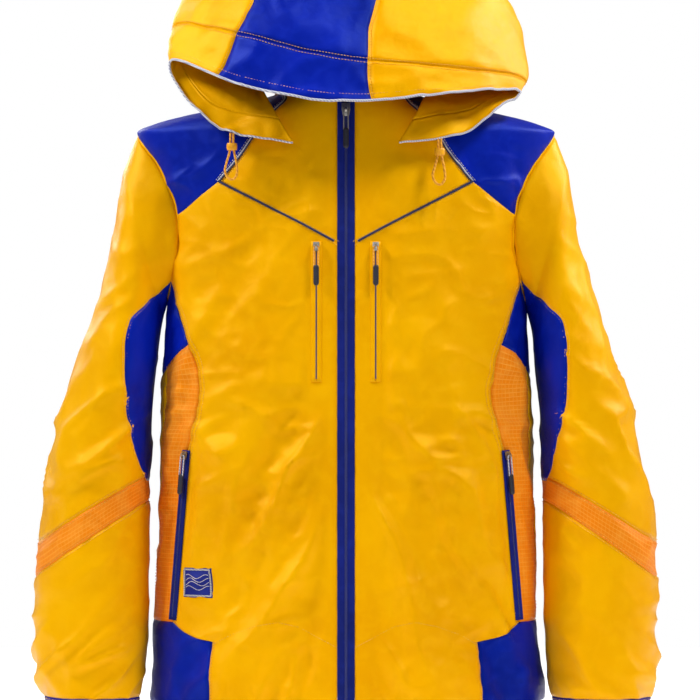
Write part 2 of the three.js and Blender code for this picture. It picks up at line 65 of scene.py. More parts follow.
# %% Camera
VIEW_WIDTH = 0.805
VIEW_DISTANCE = 5.6
camera_data = bpy.data.cameras.new("front_camera")
camera_data.sensor_width = 36
camera_data.lens = 36 * VIEW_DISTANCE / VIEW_WIDTH
camera = bpy.data.objects.new("front_camera", camera_data)
bpy.context.scene.collection.objects.link(camera)
camera.location = (0.0046, -0.15 - VIEW_DISTANCE, -0.293)
camera_data.clip_end = 50
camera.rotation_euler = (math.radians(90), 0, 0)
bpy.context.scene.camera = camera
bpy.context.scene.view_settings.view_transform = "Standard"
print("lens", round(camera_data.lens, 1), "mm")

# %% [markdown]
# The hood is a row of arches over the head, from the brim to the back of the neck. A smooth
# line is drawn through the points of each arch, and another through the arches, so any point
# of the hood has two numbers: how far across the arch, 0 to 8, and how far along, 0 to 5.

# %% Hood surface
HALF_ARCHES = [
    [(60, -176, -56), (140, -168, -40), (203, -140, 22), (112, -198, 4), (0, -214, -10)],
    [(86, -157, -12), (165, -130, 12), (204, -96, 72), (122, -168, 82), (0, -184, 78)],
    [(104, -108, 18), (168, -66, 60), (182, -52, 128), (112, -92, 176), (0, -104, 188)],
    [(92, -46, 18), (132, 4, 50), (150, 30, 100), (92, 32, 150), (0, 30, 164)],
    [(66, -14, 10), (98, 12, 34), (112, 36, 62), (68, 48, 84), (0, 52, 92)],
    [(46, -12.2, 12), (37, -8.6, 13), (28, -6, 13), (14, -4.6, 14), (0, -4, 14)],
]
ARCHES = []
for half in HALF_ARCHES:
    ARCHES.append(half + [(-x, y, z) for x, y, z in half[3::-1]])
ARCHES = np.array(ARCHES, float)
HOOD_LEAN = math.radians(9)


def smooth_line(pick, count, place):
    """Points of a smooth line through count points, which pick gives by number."""
    before = np.clip(np.floor(place).astype(int), 0, count - 2)
    part = (place - before)[:, None]
    a, b, c, d = (pick(np.clip(before + step, 0, count - 1)) for step in (-1, 0, 1, 2))
    rest = 1 - part
    ends = rest * rest * (1 + 2 * part) * b + part * part * (3 - 2 * part) * c
    return ends + part * rest * (rest * (c - a) - part * (d - b)) / 2


def hood(across, along):
    """Points of the hood's outer face, in millimetres."""
    across = np.asarray(across, float)
    along = np.asarray(along, float)
    rows = np.stack([smooth_line(lambda i, r=row: r[i], 9, across) for row in ARCHES])
    each = np.arange(len(across))
    x, y, z = smooth_line(lambda i: rows[i, each], 6, along).T
    tilt = HOOD_LEAN * np.clip((z + 10) / 60, 0, 1)
    turned_x = x * np.cos(tilt) + (z - 20) * np.sin(tilt)
    turned_z = 20 - x * np.sin(tilt) + (z - 20) * np.cos(tilt)
    return np.stack([turned_x, y, turned_z], 1)


print("brim middle", hood([4.0], [0.0])[0].round(1))

# %% [markdown]
# Two thin elastic cords hang from the brim as closed loops, with a bead that grips both runs.
# A cord has one length for life, so its path is drawn first.

# %% Cord paths
CORD_THICK = 2.6
CORD_STEPS = [
    (-1.6, 0, 0), (-1.8, -2, -12), (-2.6, -3, -22), (-6, -3, -34), (-8, -3, -44), (-4, -3, -52),
    (2, -3, -53), (6, -3, -46), (5, -3, -34), (2.6, -3, -22), (1.8, -2, -12), (1.6, 0, 0),
]
CORD_EXIT = {
    "left": hood([0.62], [0.0])[0] + (0, -0.25, 0),
    "right": hood([7.12], [0.0])[0] + (0, -0.25, 0),
}
cord_paths = {}
for hand, exit_point in CORD_EXIT.items():
    corners = exit_point + np.array(CORD_STEPS, float)
    places = np.linspace(0, 11, 36)
    cord_paths[hand] = smooth_line(lambda i: corners[i], 12, places)
    print(hand, "cord leaves the brim at", exit_point.round(1))

# %% [markdown]
# Cloth never lies quite flat. A noise made of seeded slopes gives soft hills and hollows, and
# stretched one way it gives long folds. Every piece asks it at its own place in space, so a
# fold runs on over a seam, as it does in a real jacket.

# %% Noise
dice = np.random.default_rng(7)
SHUFFLE = dice.permutation(256)
SLOPES = dice.normal(size=(256, 3))
SLOPES /= np.linalg.norm(SLOPES, axis=1)[:, None]


def noise(points, size, seed):
    """Hills and hollows about size millimetres wide, from about -1 to 1."""
    place = points / np.asarray(size, float) + 31.7 * seed
    cell = np.floor(place).astype(int)
    inside = place - cell
    ease = inside ** 3 * (inside * (inside * 6 - 15) + 10)
    total = np.zeros(len(points))
    for corner in np.ndindex(2, 2, 2):
        number = np.zeros(len(points), int)
        for axis in range(3):
            number = SHUFFLE[(number + cell[:, axis] + corner[axis]) & 255]
        share = np.prod(np.where(corner, ease, 1 - ease), axis=1)
        total += share * np.sum(SLOPES[number] * (inside - corner), axis=1)
    return total * 1.6


def crease(points, size, seed):
    """Sharp-topped ridges, as stiff cloth makes when it buckles, from 0 to 1."""
    return np.clip(1 - 2.6 * np.abs(noise(points, size, seed)), 0, 1) ** 1.6


def ramp(value, low, high):
    """0 at low, 1 at high, eased at both ends."""
    part = np.clip((np.asarray(value, float) - low) / (high - low), 0, 1)
    return part * part * (3 - 2 * part)


print("noise at one point", noise(np.array([[10.0, 20.0, 30.0]]), 40, 1).round(3))

# %% [markdown]
# The folds themselves. The lower front hangs in long slanting folds, the waist and the elbows
# buckle in short creases, and the shoulders are drawn almost smooth by the weight below. Cloth
# stays flat beside the zips, because their tapes stiffen it.

# %% Folds
HAND_ZIP = ((183, -408), (199, -604))
CHEST_ZIP_X = 34


def stiffened(points):
    """1 where the cloth is free and 0 on and beside a zip, and where its pull hangs below it."""
    x = np.abs(points[:, 0])
    z = points[:, 2]
    front = points[:, 1] < -75
    free = ramp(x, 20, 46)
    (top_x, top_z), (low_x, low_z) = HAND_ZIP
    line_x = top_x + (low_x - top_x) * (z - top_z) / (low_z - top_z)
    free = free * (1 - np.clip(1 - ramp(np.abs(x - CHEST_ZIP_X), 9, 20), 0, 1)
                   * (1 - ramp(np.abs(z + 262), 100, 114)))
    free = free * (1 - np.clip(1 - ramp(np.abs(x - line_x), 7, 18), 0, 1)
                   * (1 - ramp(np.abs(z + 524), 126, 140)))
    return np.where(front, free, 1.0)


def body_folds(points):
    """How far the cloth of the body stands out, in millimetres."""
    x, y, z = points.T
    slant = points.copy()
    slant[:, 0] = x + 0.42 * np.sign(x) * (z + 400)
    slant += 14 * noise(points, 90, 8)[:, None]
    low = ramp(-z, 170, 420)
    waist = np.exp(-((z + 390) / 90) ** 2)
    high = ramp(-z, 10, 90)
    out = 8.0 * low * noise(slant, (62, 120, 260), 1)
    out += 4.0 * high * noise(slant, (40, 90, 110), 2)
    out += 8.0 * low * crease(slant, (62, 100, 230), 3)
    out += 2.0 * low * crease(slant + 8 * noise(points, 40, 28)[:, None], (34, 60, 120), 27)
    out += 3.6 * waist * crease(points + 8 * noise(points, 50, 7)[:, None], (110, 90, 34), 4)
    out += 2.8 * high * crease(slant + 9 * noise(points, 60, 9)[:, None], (70, 80, 62), 5)
    out += 1.5 * high * crease(points + 6 * noise(points, 30, 10)[:, None], (34, 40, 30), 15)
    out += 0.7 * noise(points, 17, 6)
    beside_arm = 1 - 0.6 * ramp(np.abs(x), 196, 214)
    return (out - 3.0 * low) * stiffened(points) * (0.2 + 0.8 * high) * beside_arm


def sleeve_folds(points):
    """The same for a sleeve, with its deepest creases at the elbow and above the cuff."""
    x, y, z = points.T
    slant = points + 10 * noise(points, 70, 16)[:, None]
    slant[:, 2] += 0.7 * np.sign(x) * (x - np.sign(x) * 290)
    start = ramp(-z, 60, 200)
    elbow = np.exp(-((z + 400) / 85) ** 2) + 0.8 * np.exp(-((z + 660) / 60) ** 2)
    free = 1 - 0.7 * ramp(np.sign(x) * x, 262, 236)
    out = 4.2 * noise(slant, (90, 90, 110), 11)
    out += 6.0 * (0.35 + elbow) * crease(slant, (110, 90, 44), 12)
    out += 2.8 * crease(points, (46, 50, 70), 13)
    out += 0.7 * noise(points, 16, 14)
    join = 1 - ramp(0.98 * (np.abs(x) - 243) - 0.195 * (z + 44), 0, 16)
    return (out - 1.5) * start * free + join * body_folds(points)


def hood_folds(points):
    """The same for the hood, which keeps its shape but for soft dents and a wavy lower edge."""
    x, y, z = points.T
    free = ramp(np.hypot(np.hypot(x, y + 4), z - 14), 40, 110)
    low = 1 - ramp(z, -30, 40)
    out = 3.8 * free * noise(points, (80, 80, 90), 21)
    out += 3.0 * free * crease(points + 8 * noise(points, 50, 25)[:, None], (90, 80, 60), 22)
    out += 5.0 * free * low * noise(points, (26, 60, 70), 24)
    out += 1.2 * free * crease(points, (34, 34, 40), 26)
    out += 0.6 * noise(points, 16, 23) * free
    return out


print("folds ready")

# %% [markdown]
# Finishes. Satin is a smooth, tight weave: it has a broad soft shine that breaks up where the
# cloth is crinkled. The yarns are drawn as waves on the cloth's own map, which is in metres, so
# they keep their real size on every piece. A slow noise varies colour and shine, and a map
# stored on each piece darkens the cloth beside its seams, where it dips: painted shade.

# %% Finish helpers
def color_of(red, green, blue):
    """A colour given as on a screen, 0 to 255, turned to the light it stands for."""
    linear = []
    for value in (red, green, blue):
        share = value / 255
        linear.append(share / 12.92 if share <= 0.04045 else ((share + 0.055) / 1.055) ** 2.4)
    return (*linear, 1)


def new_finish(name):
    finish = bpy.data.materials.new(name)
    finish.use_nodes = True
    tree = finish.node_tree
    return finish, tree, tree.nodes["Principled BSDF"]


def add_node(tree, kind, **settings):
    node = tree.nodes.new(kind)
    for key, value in settings.items():
        if hasattr(node, key):
            setattr(node, key, value)
        else:
            node.inputs[key.replace("_", " ")].default_value = value
    return node


def mix_colors(tree, share, first, second):
    """A mix of two colours. Each is a socket or a constant."""
    node = tree.nodes.new("ShaderNodeMix")
    node.data_type = "RGBA"
    tree.links.new(share, node.inputs["Factor"])
    for slot, value in (("A", first), ("B", second)):
        socket = [s for s in node.inputs if s.name == slot and s.type == "RGBA"][0]
        if isinstance(value, tuple):
            socket.default_value = value
        else:
            tree.links.new(value, socket)
    return [s for s in node.outputs if s.type == "RGBA"][0]


def sum_of(tree, operation, first, second):
    node = tree.nodes.new("ShaderNodeMath")
    node.operation = operation
    for socket, value in zip(node.inputs, (first, second)):
        if isinstance(value, (int, float)):
            socket.default_value = value
        else:
            tree.links.new(value, socket)
    return node.outputs[0]


def between_values(tree, value, low, high, first, second):
    node = tree.nodes.new("ShaderNodeMapRange")
    tree.links.new(value, node.inputs["Value"])
    for socket, number in zip(list(node.inputs)[1:5], (low, high, first, second)):
        socket.default_value = number
    return node.outputs["Result"]


print("finish helpers ready")

# %% Cloth finish
def cloth_finish(name, base, shade, light, rough=0.42, tint=(1, 1, 1, 1), yarn=0.7, grid=0.0, depth=1.0):
    """Woven cloth: base, a darker and a lighter colour, a yarn in mm, and a ripstop grid in mm."""
    finish, tree, shader = new_finish(name)
    here = tree.nodes.new("ShaderNodeTexCoord").outputs["Object"]
    cloth_map = tree.nodes.new("ShaderNodeUVMap")
    cloth_map.uv_map = "cloth"
    apart = tree.nodes.new("ShaderNodeSeparateXYZ")
    tree.links.new(cloth_map.outputs["UV"], apart.inputs[0])
    slow = add_node(tree, "ShaderNodeTexNoise", Scale=7.0, Detail=3.0)
    fine = add_node(tree, "ShaderNodeTexNoise", Scale=70.0, Detail=5.0)
    fine.inputs["Distortion"].default_value = 0.6
    for texture in (slow, fine):
        tree.links.new(here, texture.inputs["Vector"])
    tone = mix_colors(tree, between_values(tree, slow.outputs[0], 0.35, 0.65, 0.0, 1.0), base, shade)
    mottle = between_values(tree, fine.outputs[0], 0.45, 0.75, 0.0, 0.35)
    tone = mix_colors(tree, mottle, tone, light)
    turns = 2 * math.pi / (yarn * MM)
    across = sum_of(tree, "SINE", sum_of(tree, "MULTIPLY", apart.outputs[0], turns), 0)
    down = sum_of(tree, "SINE", sum_of(tree, "MULTIPLY", apart.outputs[1], turns), 0)
    weave = sum_of(tree, "MULTIPLY", across, down)
    height = sum_of(tree, "ADD", sum_of(tree, "MULTIPLY", weave, 0.06), fine.outputs[0])
    if grid:
        lines = None
        for axis, share in ((0, 0.6), (1, 1.0)):
            near = sum_of(tree, "PINGPONG", apart.outputs[axis], grid * MM / 2)
            line = between_values(tree, near, 0.0, 0.0007, share, 0.0)
            lines = line if lines is None else sum_of(tree, "MAXIMUM", lines, line)
        tone = mix_colors(tree, sum_of(tree, "MULTIPLY", lines, 0.7), tone, light)
        height = sum_of(tree, "ADD", height, sum_of(tree, "MULTIPLY", lines, 0.5))
    # painted shade: beside the seams the colour is mixed toward the darker shade colour
    seam_shade = add_node(tree, "ShaderNodeAttribute", attribute_name="seam_shade")
    seam_shade_share = sum_of(tree, "MULTIPLY", seam_shade.outputs["Fac"], 0.45)
    tone = mix_colors(tree, seam_shade_share, tone, shade)
    tree.links.new(tone, shader.inputs["Base Color"])
    gloss = between_values(tree, fine.outputs[0], 0.3, 0.7, rough - 0.06, rough + 0.08)
    tree.links.new(gloss, shader.inputs["Roughness"])
    bump = add_node(tree, "ShaderNodeBump", Strength=0.35 * depth, Distance=0.0016)
    tree.links.new(height, bump.inputs["Height"])
    tree.links.new(bump.outputs[0], shader.inputs["Normal"])
    shader.inputs["Specular IOR Level"].default_value = 0.6
    shader.inputs["Specular Tint"].default_value = tint
    return finish


YELLOW = cloth_finish(
    "satin_yellow", color_of(250, 181, 0), color_of(238, 164, 0), color_of(253, 190, 4),
    rough=0.34, tint=(1.0, 0.62, 0.02, 1),
)
BLUE = cloth_finish(
    "satin_blue", color_of(3, 28, 165), color_of(2, 20, 128), color_of(6, 38, 182),
    rough=0.4, tint=(0.08, 0.2, 1.0, 1),
)
ORANGE = cloth_finish(
    "ripstop_cloth", color_of(248, 140, 14), color_of(238, 124, 8), color_of(255, 178, 66),
    rough=0.46, grid=5.0, tint=(1.0, 0.5, 0.1, 1),
)
LINING = cloth_finish(
    "lining_mesh", color_of(46, 50, 60), color_of(34, 37, 48), color_of(70, 76, 88),
    rough=0.6, yarn=1.6, depth=1.6,
)
LABEL = cloth_finish(
    "woven_patch", color_of(16, 26, 132), color_of(12, 20, 104), color_of(60, 72, 170),
    rough=0.62, tint=(0.3, 0.4, 1.0, 1), yarn=1.1, depth=1.6,
)
print("cloth finishes", [finish.name for finish in (YELLOW, BLUE, ORANGE, LINING, LABEL)])

# %% [markdown]
# The hard and stringy finishes: zip tape is a ribbed ribbon, coil and beads are moulded
# plastic, sliders are cast metal with a brushed, slightly worn face, grips are matt rubber, and
# cord and thread are twisted yarn, which shows as slanting ridges with painted shade in their grooves.

# %% Other finishes
def plain_finish(name, base, other, rough, scale, depth, metallic=0.0, stretch=(1, 1, 1)):
    """A surface whose colour, shine and relief follow one noise, stretched along an axis."""
    finish, tree, shader = new_finish(name)
    here = tree.nodes.new("ShaderNodeTexCoord").outputs["Object"]
    placed = tree.nodes.new("ShaderNodeMapping")
    placed.inputs["Scale"].default_value = stretch
    tree.links.new(here, placed.inputs["Vector"])
    grain = add_node(tree, "ShaderNodeTexNoise", Scale=scale, Detail=4.0)
    tree.links.new(placed.outputs[0], grain.inputs["Vector"])
    share = between_values(tree, grain.outputs[0], 0.35, 0.7, 0.0, 1.0)
    tree.links.new(mix_colors(tree, share, base, other), shader.inputs["Base Color"])
    gloss = between_values(tree, grain.outputs[0], 0.3, 0.7, rough - 0.05, rough + 0.08)
    tree.links.new(gloss, shader.inputs["Roughness"])
    bump = add_node(tree, "ShaderNodeBump", Strength=0.4, Distance=depth * MM)
    tree.links.new(grain.outputs[0], bump.inputs["Height"])
    tree.links.new(bump.outputs[0], shader.inputs["Normal"])
    shader.inputs["Metallic"].default_value = metallic
    return finish


def twisted_finish(name, base, other, pitch):
    """Twisted yarn: slanting ridges, pitch millimetres apart, on Object coordinates, with painted shade in
    the grooves.
    """
    finish, tree, shader = new_finish(name)
    here = tree.nodes.new("ShaderNodeTexCoord").outputs["Object"]
    ridges = add_node(tree, "ShaderNodeTexWave", Scale=0.314 / (pitch * MM) / 1.7, Distortion=0.8)
    ridges.bands_direction = "DIAGONAL"
    tree.links.new(here, ridges.inputs["Vector"])
    # painted shade: the colour turns to the darker one in the grooves, where the ridges are low
    tree.links.new(mix_colors(tree, ridges.outputs["Fac"], other, base), shader.inputs["Base Color"])
    bump = add_node(tree, "ShaderNodeBump", Strength=0.6, Distance=0.0003)
    tree.links.new(ridges.outputs["Fac"], bump.inputs["Height"])
    tree.links.new(bump.outputs[0], shader.inputs["Normal"])
    shader.inputs["Roughness"].default_value = 0.65
    shader.inputs["Sheen Weight"].default_value = 0.2
    return finish


TAPE = cloth_finish(
    "ribbed_tape", color_of(14, 26, 122), color_of(8, 16, 88), color_of(34, 48, 150),
    rough=0.66, tint=(0.2, 0.3, 1.0, 1), yarn=1.0, depth=1.5,
)
COIL = plain_finish("zip_coil", color_of(20, 28, 90), color_of(44, 54, 130), 0.34, 900, 0.05)
METAL = plain_finish(
    "brushed_metal", color_of(196, 194, 188), color_of(150, 148, 142), 0.3, 1500, 0.03, 1.0, (1, 1, 0.15)
)
RUBBER = plain_finish("matt_rubber", color_of(38, 40, 58), color_of(24, 25, 36), 0.55, 1200, 0.08)
BEAD = plain_finish("bead_plastic", color_of(248, 176, 20), color_of(230, 150, 8), 0.4, 500, 0.1)
CORD = twisted_finish("cord_yarn", color_of(250, 180, 30), color_of(220, 138, 8), 1.6)
LOOP = twisted_finish("pull_loop", color_of(250, 186, 60), color_of(226, 140, 20), 1.2)
PALE = twisted_finish("pale_piping", color_of(214, 214, 222), color_of(150, 152, 176), 1.0)
NAVY = twisted_finish("navy_piping", color_of(26, 30, 84), color_of(12, 14, 48), 1.0)
GOLD_THREAD = twisted_finish("gold_thread", color_of(250, 196, 60), color_of(206, 140, 10), 0.8)
PALE_THREAD = twisted_finish("pale_thread", color_of(226, 222, 214), color_of(176, 172, 176), 0.8)
print("finishes", len(bpy.data.materials))

# %% [markdown]
# A cut piece of cloth is a grid of points on a surface, given twice: its outer face, and the
# same moved in by the cloth's thickness, with a rim between. Its map runs in metres along and
# across the piece, and near its border the cloth dips, as it does where it turns into a seam.

# %% Cloth pieces
def solid_mesh(name, corners, faces, maps, flat_from):
    """A mesh from millimetres. Faces from flat_from on are the rim, and stay flat."""
    cut = corners[faces]
    volume = np.sum(np.cross(cut[:, 0], cut[:, 1]) * cut[:, 2])
    volume += np.sum(np.cross(cut[:, 0], cut[:, 2]) * cut[:, 3])
    if volume < 0:
        faces = faces[:, ::-1]
        maps = maps[:, ::-1]
    mesh = bpy.data.meshes.new(name)
    mesh.from_pydata((corners * MM).tolist(), [], faces.tolist())
    layer = mesh.uv_layers.new(name="cloth")
    layer.data.foreach_set("uv", (maps * MM).ravel())
    smooth = np.arange(len(faces)) < flat_from
    mesh.polygons.foreach_set("use_smooth", smooth)
    mesh.update()
    return mesh


def sheet_piece(name, outer, inner, finish, inside=None, seam_shade=None, ring=False):
    """A cloth object from two grids, rows by columns by 3. A ring's last column is its first."""
    rows, columns = outer.shape[:2]
    step_u = np.linalg.norm(np.diff(outer, axis=1), axis=2)
    step_v = np.linalg.norm(np.diff(outer, axis=0), axis=2)
    u = np.concatenate([np.zeros((rows, 1)), np.cumsum(step_u, 1)], 1)
    u -= u[:, -1:] / 2
    v = np.concatenate([np.zeros((1, columns)), np.cumsum(step_v, 0)], 0)
    v = np.broadcast_to(v.mean(1)[:, None], u.shape)
    chart = np.stack([u, v], 2)
    own = columns - 1 if ring else columns
    number = np.arange(rows)[:, None] * own + np.arange(columns) % own
    place = np.arange(rows * columns).reshape(rows, columns)

    def quads(grid):
        a, b = grid[:-1, :-1], grid[:-1, 1:]
        d, c = grid[1:, :-1], grid[1:, 1:]
        return np.stack([a, b, c, d], 2).reshape(-1, 4)

    count = rows * own
    face, mapped = quads(number), quads(place)
    faces = [face, face[:, ::-1] + count]
    maps = [mapped, mapped[:, ::-1]]
    borders = [(number[0], place[0]), (number[-1, ::-1], place[-1, ::-1])]
    if not ring:
        borders += [(number[::-1, 0], place[::-1, 0]), (number[:, -1], place[:, -1])]
    for line, spot in borders:
        faces.append(np.stack([line[1:], line[:-1], line[:-1] + count, line[1:] + count], 1))
        maps.append(np.stack([spot[1:], spot[:-1], spot[:-1], spot[1:]], 1))
    corners = np.concatenate([outer[:, :own].reshape(-1, 3), inner[:, :own].reshape(-1, 3)])
    faces = np.concatenate(faces)
    maps = chart.reshape(-1, 2)[np.concatenate(maps)]
    mesh = solid_mesh(name, corners, faces, maps, 2 * len(face))
    mesh.materials.append(finish)
    if inside is not None:
        mesh.materials.append(inside)
        which = np.zeros(len(faces), int)
        which[len(face):2 * len(face)] = 1
        mesh.polygons.foreach_set("material_index", which)
    # painted shade beside the seams, kept on the points for the finish to read
    seam_shade_share = np.zeros((rows, columns)) if seam_shade is None else seam_shade
    seam_shade_share = np.tile(seam_shade_share[:, :own].ravel(), 2)
    mesh.attributes.new("seam_shade", "FLOAT", "POINT").data.foreach_set("value", seam_shade_share.astype(np.float32))
    piece = bpy.data.objects.new(name, mesh)
    bpy.context.scene.collection.objects.link(piece)
    area = 0.5 * np.sum(np.linalg.norm(np.cross(outer[1:, 1:] - outer[:-1, :-1],
                                                outer[:-1, 1:] - outer[1:, :-1]), axis=2))
    piece["cut"] = [float(u[:, -1].max() * 2), float(v.max()), float(area)]
    return piece


def declare_sheet(piece):
    """Works out the flat size of the cloth, as measured along the finished panel; nothing is done with it.
    """
    wide, high, area = piece["cut"]
    if area > wide * high:
        wide = area / high
    if area < 0.34 * wide * high:
        wide = area / (0.34 * high)


print("cloth maker ready")

# %% [markdown]
# A panel is a patch of a surface between two edges. Each place on it has two numbers on the
# surface, and slopes taken with small steps give the way out of the cloth there. The folds are
# added along that way, then the cloth dips by a millimetre at its seams, with small puckers.

# %% Panels on a surface
def way_out(surface, u, v, du, dv, sign):
    across = surface(u + du, v) - surface(u - du, v)
    along = surface(u, v + dv) - surface(u, v - dv)
    out = np.cross(across, along) * sign
    return out / np.maximum(np.linalg.norm(out, axis=1), 1e-9)[:, None]


def border_distance(grid, ring=False):
    step_u = np.linalg.norm(np.diff(grid, axis=1), axis=2)
    step_v = np.linalg.norm(np.diff(grid, axis=0), axis=2)
    rows, columns = grid.shape[:2]
    u = np.concatenate([np.zeros((rows, 1)), np.cumsum(step_u, 1)], 1)
    v = np.concatenate([np.zeros((1, columns)), np.cumsum(step_v, 0)], 0)
    ends = np.minimum(v, v[-1:] - v)
    if ring:
        return ends
    return np.minimum(ends, np.minimum(u, u[:, -1:] - u))


def dressed(points, out, folds, distance, lift):
    """The points moved out by the folds, and in beside a seam."""
    pucker = noise(points, 8, 31) * np.exp(-(distance / 9) ** 2) * 0.55
    dip = 1.0 * np.exp(-(distance / 2.6) ** 2)
    return points + out * (folds(points) + pucker - dip + lift)[:, None]


def cloth_panel(name, kind, cells, finish, side=1, thick=2.0, lift=0.0, inside=None, ring=False):
    """kind is a surface with its steps and folds; cells is rows by columns by 2 on it."""
    surface, du, dv, sign, folds = kind
    rows, columns = cells.shape[:2]
    u, v = cells.reshape(-1, 2).T
    points = surface(u, v)
    out = way_out(surface, u, v, du, dv, sign)
    points[:, 0] *= side
    out[:, 0] *= side
    distance = border_distance(points.reshape(rows, columns, 3), ring)
    outer = dressed(points, out, folds, distance.ravel(), lift)
    inner = outer - out * thick
    # painted shade: 1 at the border, where the cloth dips into the seam, fading within a few millimetres
    seam_shade = np.exp(-(distance / 4) ** 2)
    shape = (rows, columns, 3)
    return sheet_piece(name, outer.reshape(shape), inner.reshape(shape), finish, inside, seam_shade, ring)


def line_on(kind, cells, side=1, lift=0.3, distance=2.0):
    """A line that lies on the dressed cloth, distance from the nearest seam."""
    surface, du, dv, sign, folds = kind
    u, v = np.asarray(cells, float).T
    points = surface(u, v)
    out = way_out(surface, u, v, du, dv, sign)
    points[:, 0] *= side
    out[:, 0] *= side
    return dressed(points, out, folds, np.full(len(points), float(distance)), lift)


def beside(kind, cells, offset):
    """A line on the surface that runs offset millimetres to the side of another."""
    surface, du, dv, sign, _ = kind
    u, v = np.asarray(cells, float).T
    step_u = (surface(u + du, v) - surface(u - du, v)) / (2 * du)
    step_v = (surface(u, v + dv) - surface(u, v - dv)) / (2 * dv)
    out = way_out(surface, u, v, du, dv, sign)
    points = surface(u, v)
    way = np.gradient(points, axis=0)
    sideways = np.cross(out, way)
    sideways *= offset / np.maximum(np.linalg.norm(sideways, axis=1), 1e-9)[:, None]
    uu, vv, uv = (np.sum(a * b, 1) for a, b in ((step_u, step_u), (step_v, step_v), (step_u, step_v)))
    su, sv = np.sum(step_u * sideways, 1), np.sum(step_v * sideways, 1)
    det = np.maximum(uu * vv - uv * uv, 1e-9)
    return np.stack([u + (su * vv - sv * uv) / det, v + (sv * uu - su * uv) / det], 1)


print("panel maker ready")

# %% [markdown]
# The body is a stack of rounded cross-sections. Its rows give height, half-width and depth
# behind the side line, and a curve that never overshoots runs through them.

# %% Body surface
BODY_ROWS = np.array([
    (-699, 228, 96), (-560, 221, 88), (-370, 215, 80), (-259, 209, 88), (-178, 207, 90),
    (-136, 212, 88), (-80, 228, 85), (-50, 241, 83), (-40, 243, 82), (-30, 222, 80),
    (-20, 184, 78), (-8, 124, 74), (0, 94, 71), (4, 84, 70), (50, 76, 64),
], float)
HEM_Z = -699
NECK_Z = 4
COLLAR_Z = 50
SIDE_LINE_Y = -75
ROUNDNESS = 2.5


def steady_slopes(rows):
    """Slopes for a curve through rows of numbers that keeps between each pair of them."""
    gap = np.diff(rows[:, 0])[:, None]
    rise = np.diff(rows[:, 1:], axis=0) / gap
    slope = np.zeros((len(rows), rows.shape[1] - 1))
    same = rise[:-1] * rise[1:] > 0
    mean = 2 * rise[:-1] * rise[1:] / np.where(same, rise[:-1] + rise[1:], 1)
    slope[1:-1] = np.where(same, mean, 0)
    slope[0], slope[-1] = rise[0], rise[-1]
    return slope


def steady_curve(rows, slope, key):
    k = np.clip(np.searchsorted(rows[:, 0], key) - 1, 0, len(rows) - 2)
    gap = rows[k + 1, 0] - rows[k, 0]
    t = np.clip((key - rows[k, 0]) / gap, 0, 1)[:, None]
    gap = gap[:, None]
    low, high = rows[k, 1:], rows[k + 1, 1:]
    ease = t * t * (3 - 2 * t)
    bend = t * (1 - t) * gap
    return low + (high - low) * ease + bend * ((1 - t) * slope[k] - t * slope[k + 1])


BODY_SLOPES = steady_slopes(BODY_ROWS)


def front_y(z):
    return -205 + 55 * (np.asarray(z, float) - HEM_Z) / (COLLAR_Z - HEM_Z)


def body_size(z):
    width, back = steady_curve(BODY_ROWS, BODY_SLOPES, np.asarray(z, float)).T
    return width, SIDE_LINE_Y - front_y(z), back


def body(turn, z):
    """Points of the body. turn is 0 at the front edge, a right angle at the side."""
    turn = np.asarray(turn, float)
    z = np.asarray(z, float)
    width, front, back = body_size(z)
    depth = np.where(np.cos(turn) > 0, front, back)
    size = np.abs(np.sin(turn) / width) ** ROUNDNESS + np.abs(np.cos(turn) / depth) ** ROUNDNESS
    reach = size ** (-1 / ROUNDNESS)
    return np.stack([reach * np.sin(turn), SIDE_LINE_Y - reach * np.cos(turn), z], 1)


def turn_at_x(x, z):
    width, front, _ = body_size(z)
    share = np.clip(1 - np.abs(x / width) ** ROUNDNESS, 0, 1)
    return np.arctan2(x, front * share ** (1 / ROUNDNESS))


def turn_at_depth(forward, z):
    width, front, back = body_size(z)
    share = np.abs(forward / np.where(forward > 0, front, back))
    return np.arctan2(width * (1 - share ** ROUNDNESS) ** (1 / ROUNDNESS), forward)


def armhole(degrees):
    angle = np.radians(np.asarray(degrees, float))
    z = -142 + 98 * np.cos(angle)
    return np.stack([turn_at_depth(45 * np.sin(angle), z), z], 1)


BODY = (body, 0.01, 1.0, 1, body_folds)
print("body at the waist", body([0.0, math.pi / 2], [-370.0, -370.0]).round(1).tolist())

# %% [markdown]
# The seams are drawn once, as smooth lines through a few points, and cut into short steps.
# Two neighbours take the same steps of the same seam, so they meet exactly.

# %% Seams of the body
def seam_points(*points):
    x, z = np.array(points, float).T
    return np.stack([turn_at_x(x, z), z], 1)


def mirrored(cells):
    return np.stack([math.pi - cells[:, 0], cells[:, 1]], 1)


seam_steps = {}


def step_key(a, b):
    return tuple(np.round(np.concatenate([a, b]), 5))


def draw_seam(corners):
    """Keeps the smooth line through corners, step by step, both ways round."""
    spread = corners * (150.0, 1.0)
    for k in range(len(corners) - 1):
        def piece(count, k=k):
            places = k + np.linspace(0, 1, count + 1)
            return smooth_line(lambda i: spread[i], len(spread), places) / (150.0, 1.0)
        seam_steps[step_key(corners[k], corners[k + 1])] = piece
        back = lambda count, piece=piece: piece(count)[::-1]
        seam_steps[step_key(corners[k + 1], corners[k])] = back


def straight_step(a, b):
    return lambda count: a + (b - a) * np.linspace(0, 1, count + 1)[:, None]


def seam_step(a, b):
    return seam_steps.get(step_key(a, b)) or straight_step(a, b)


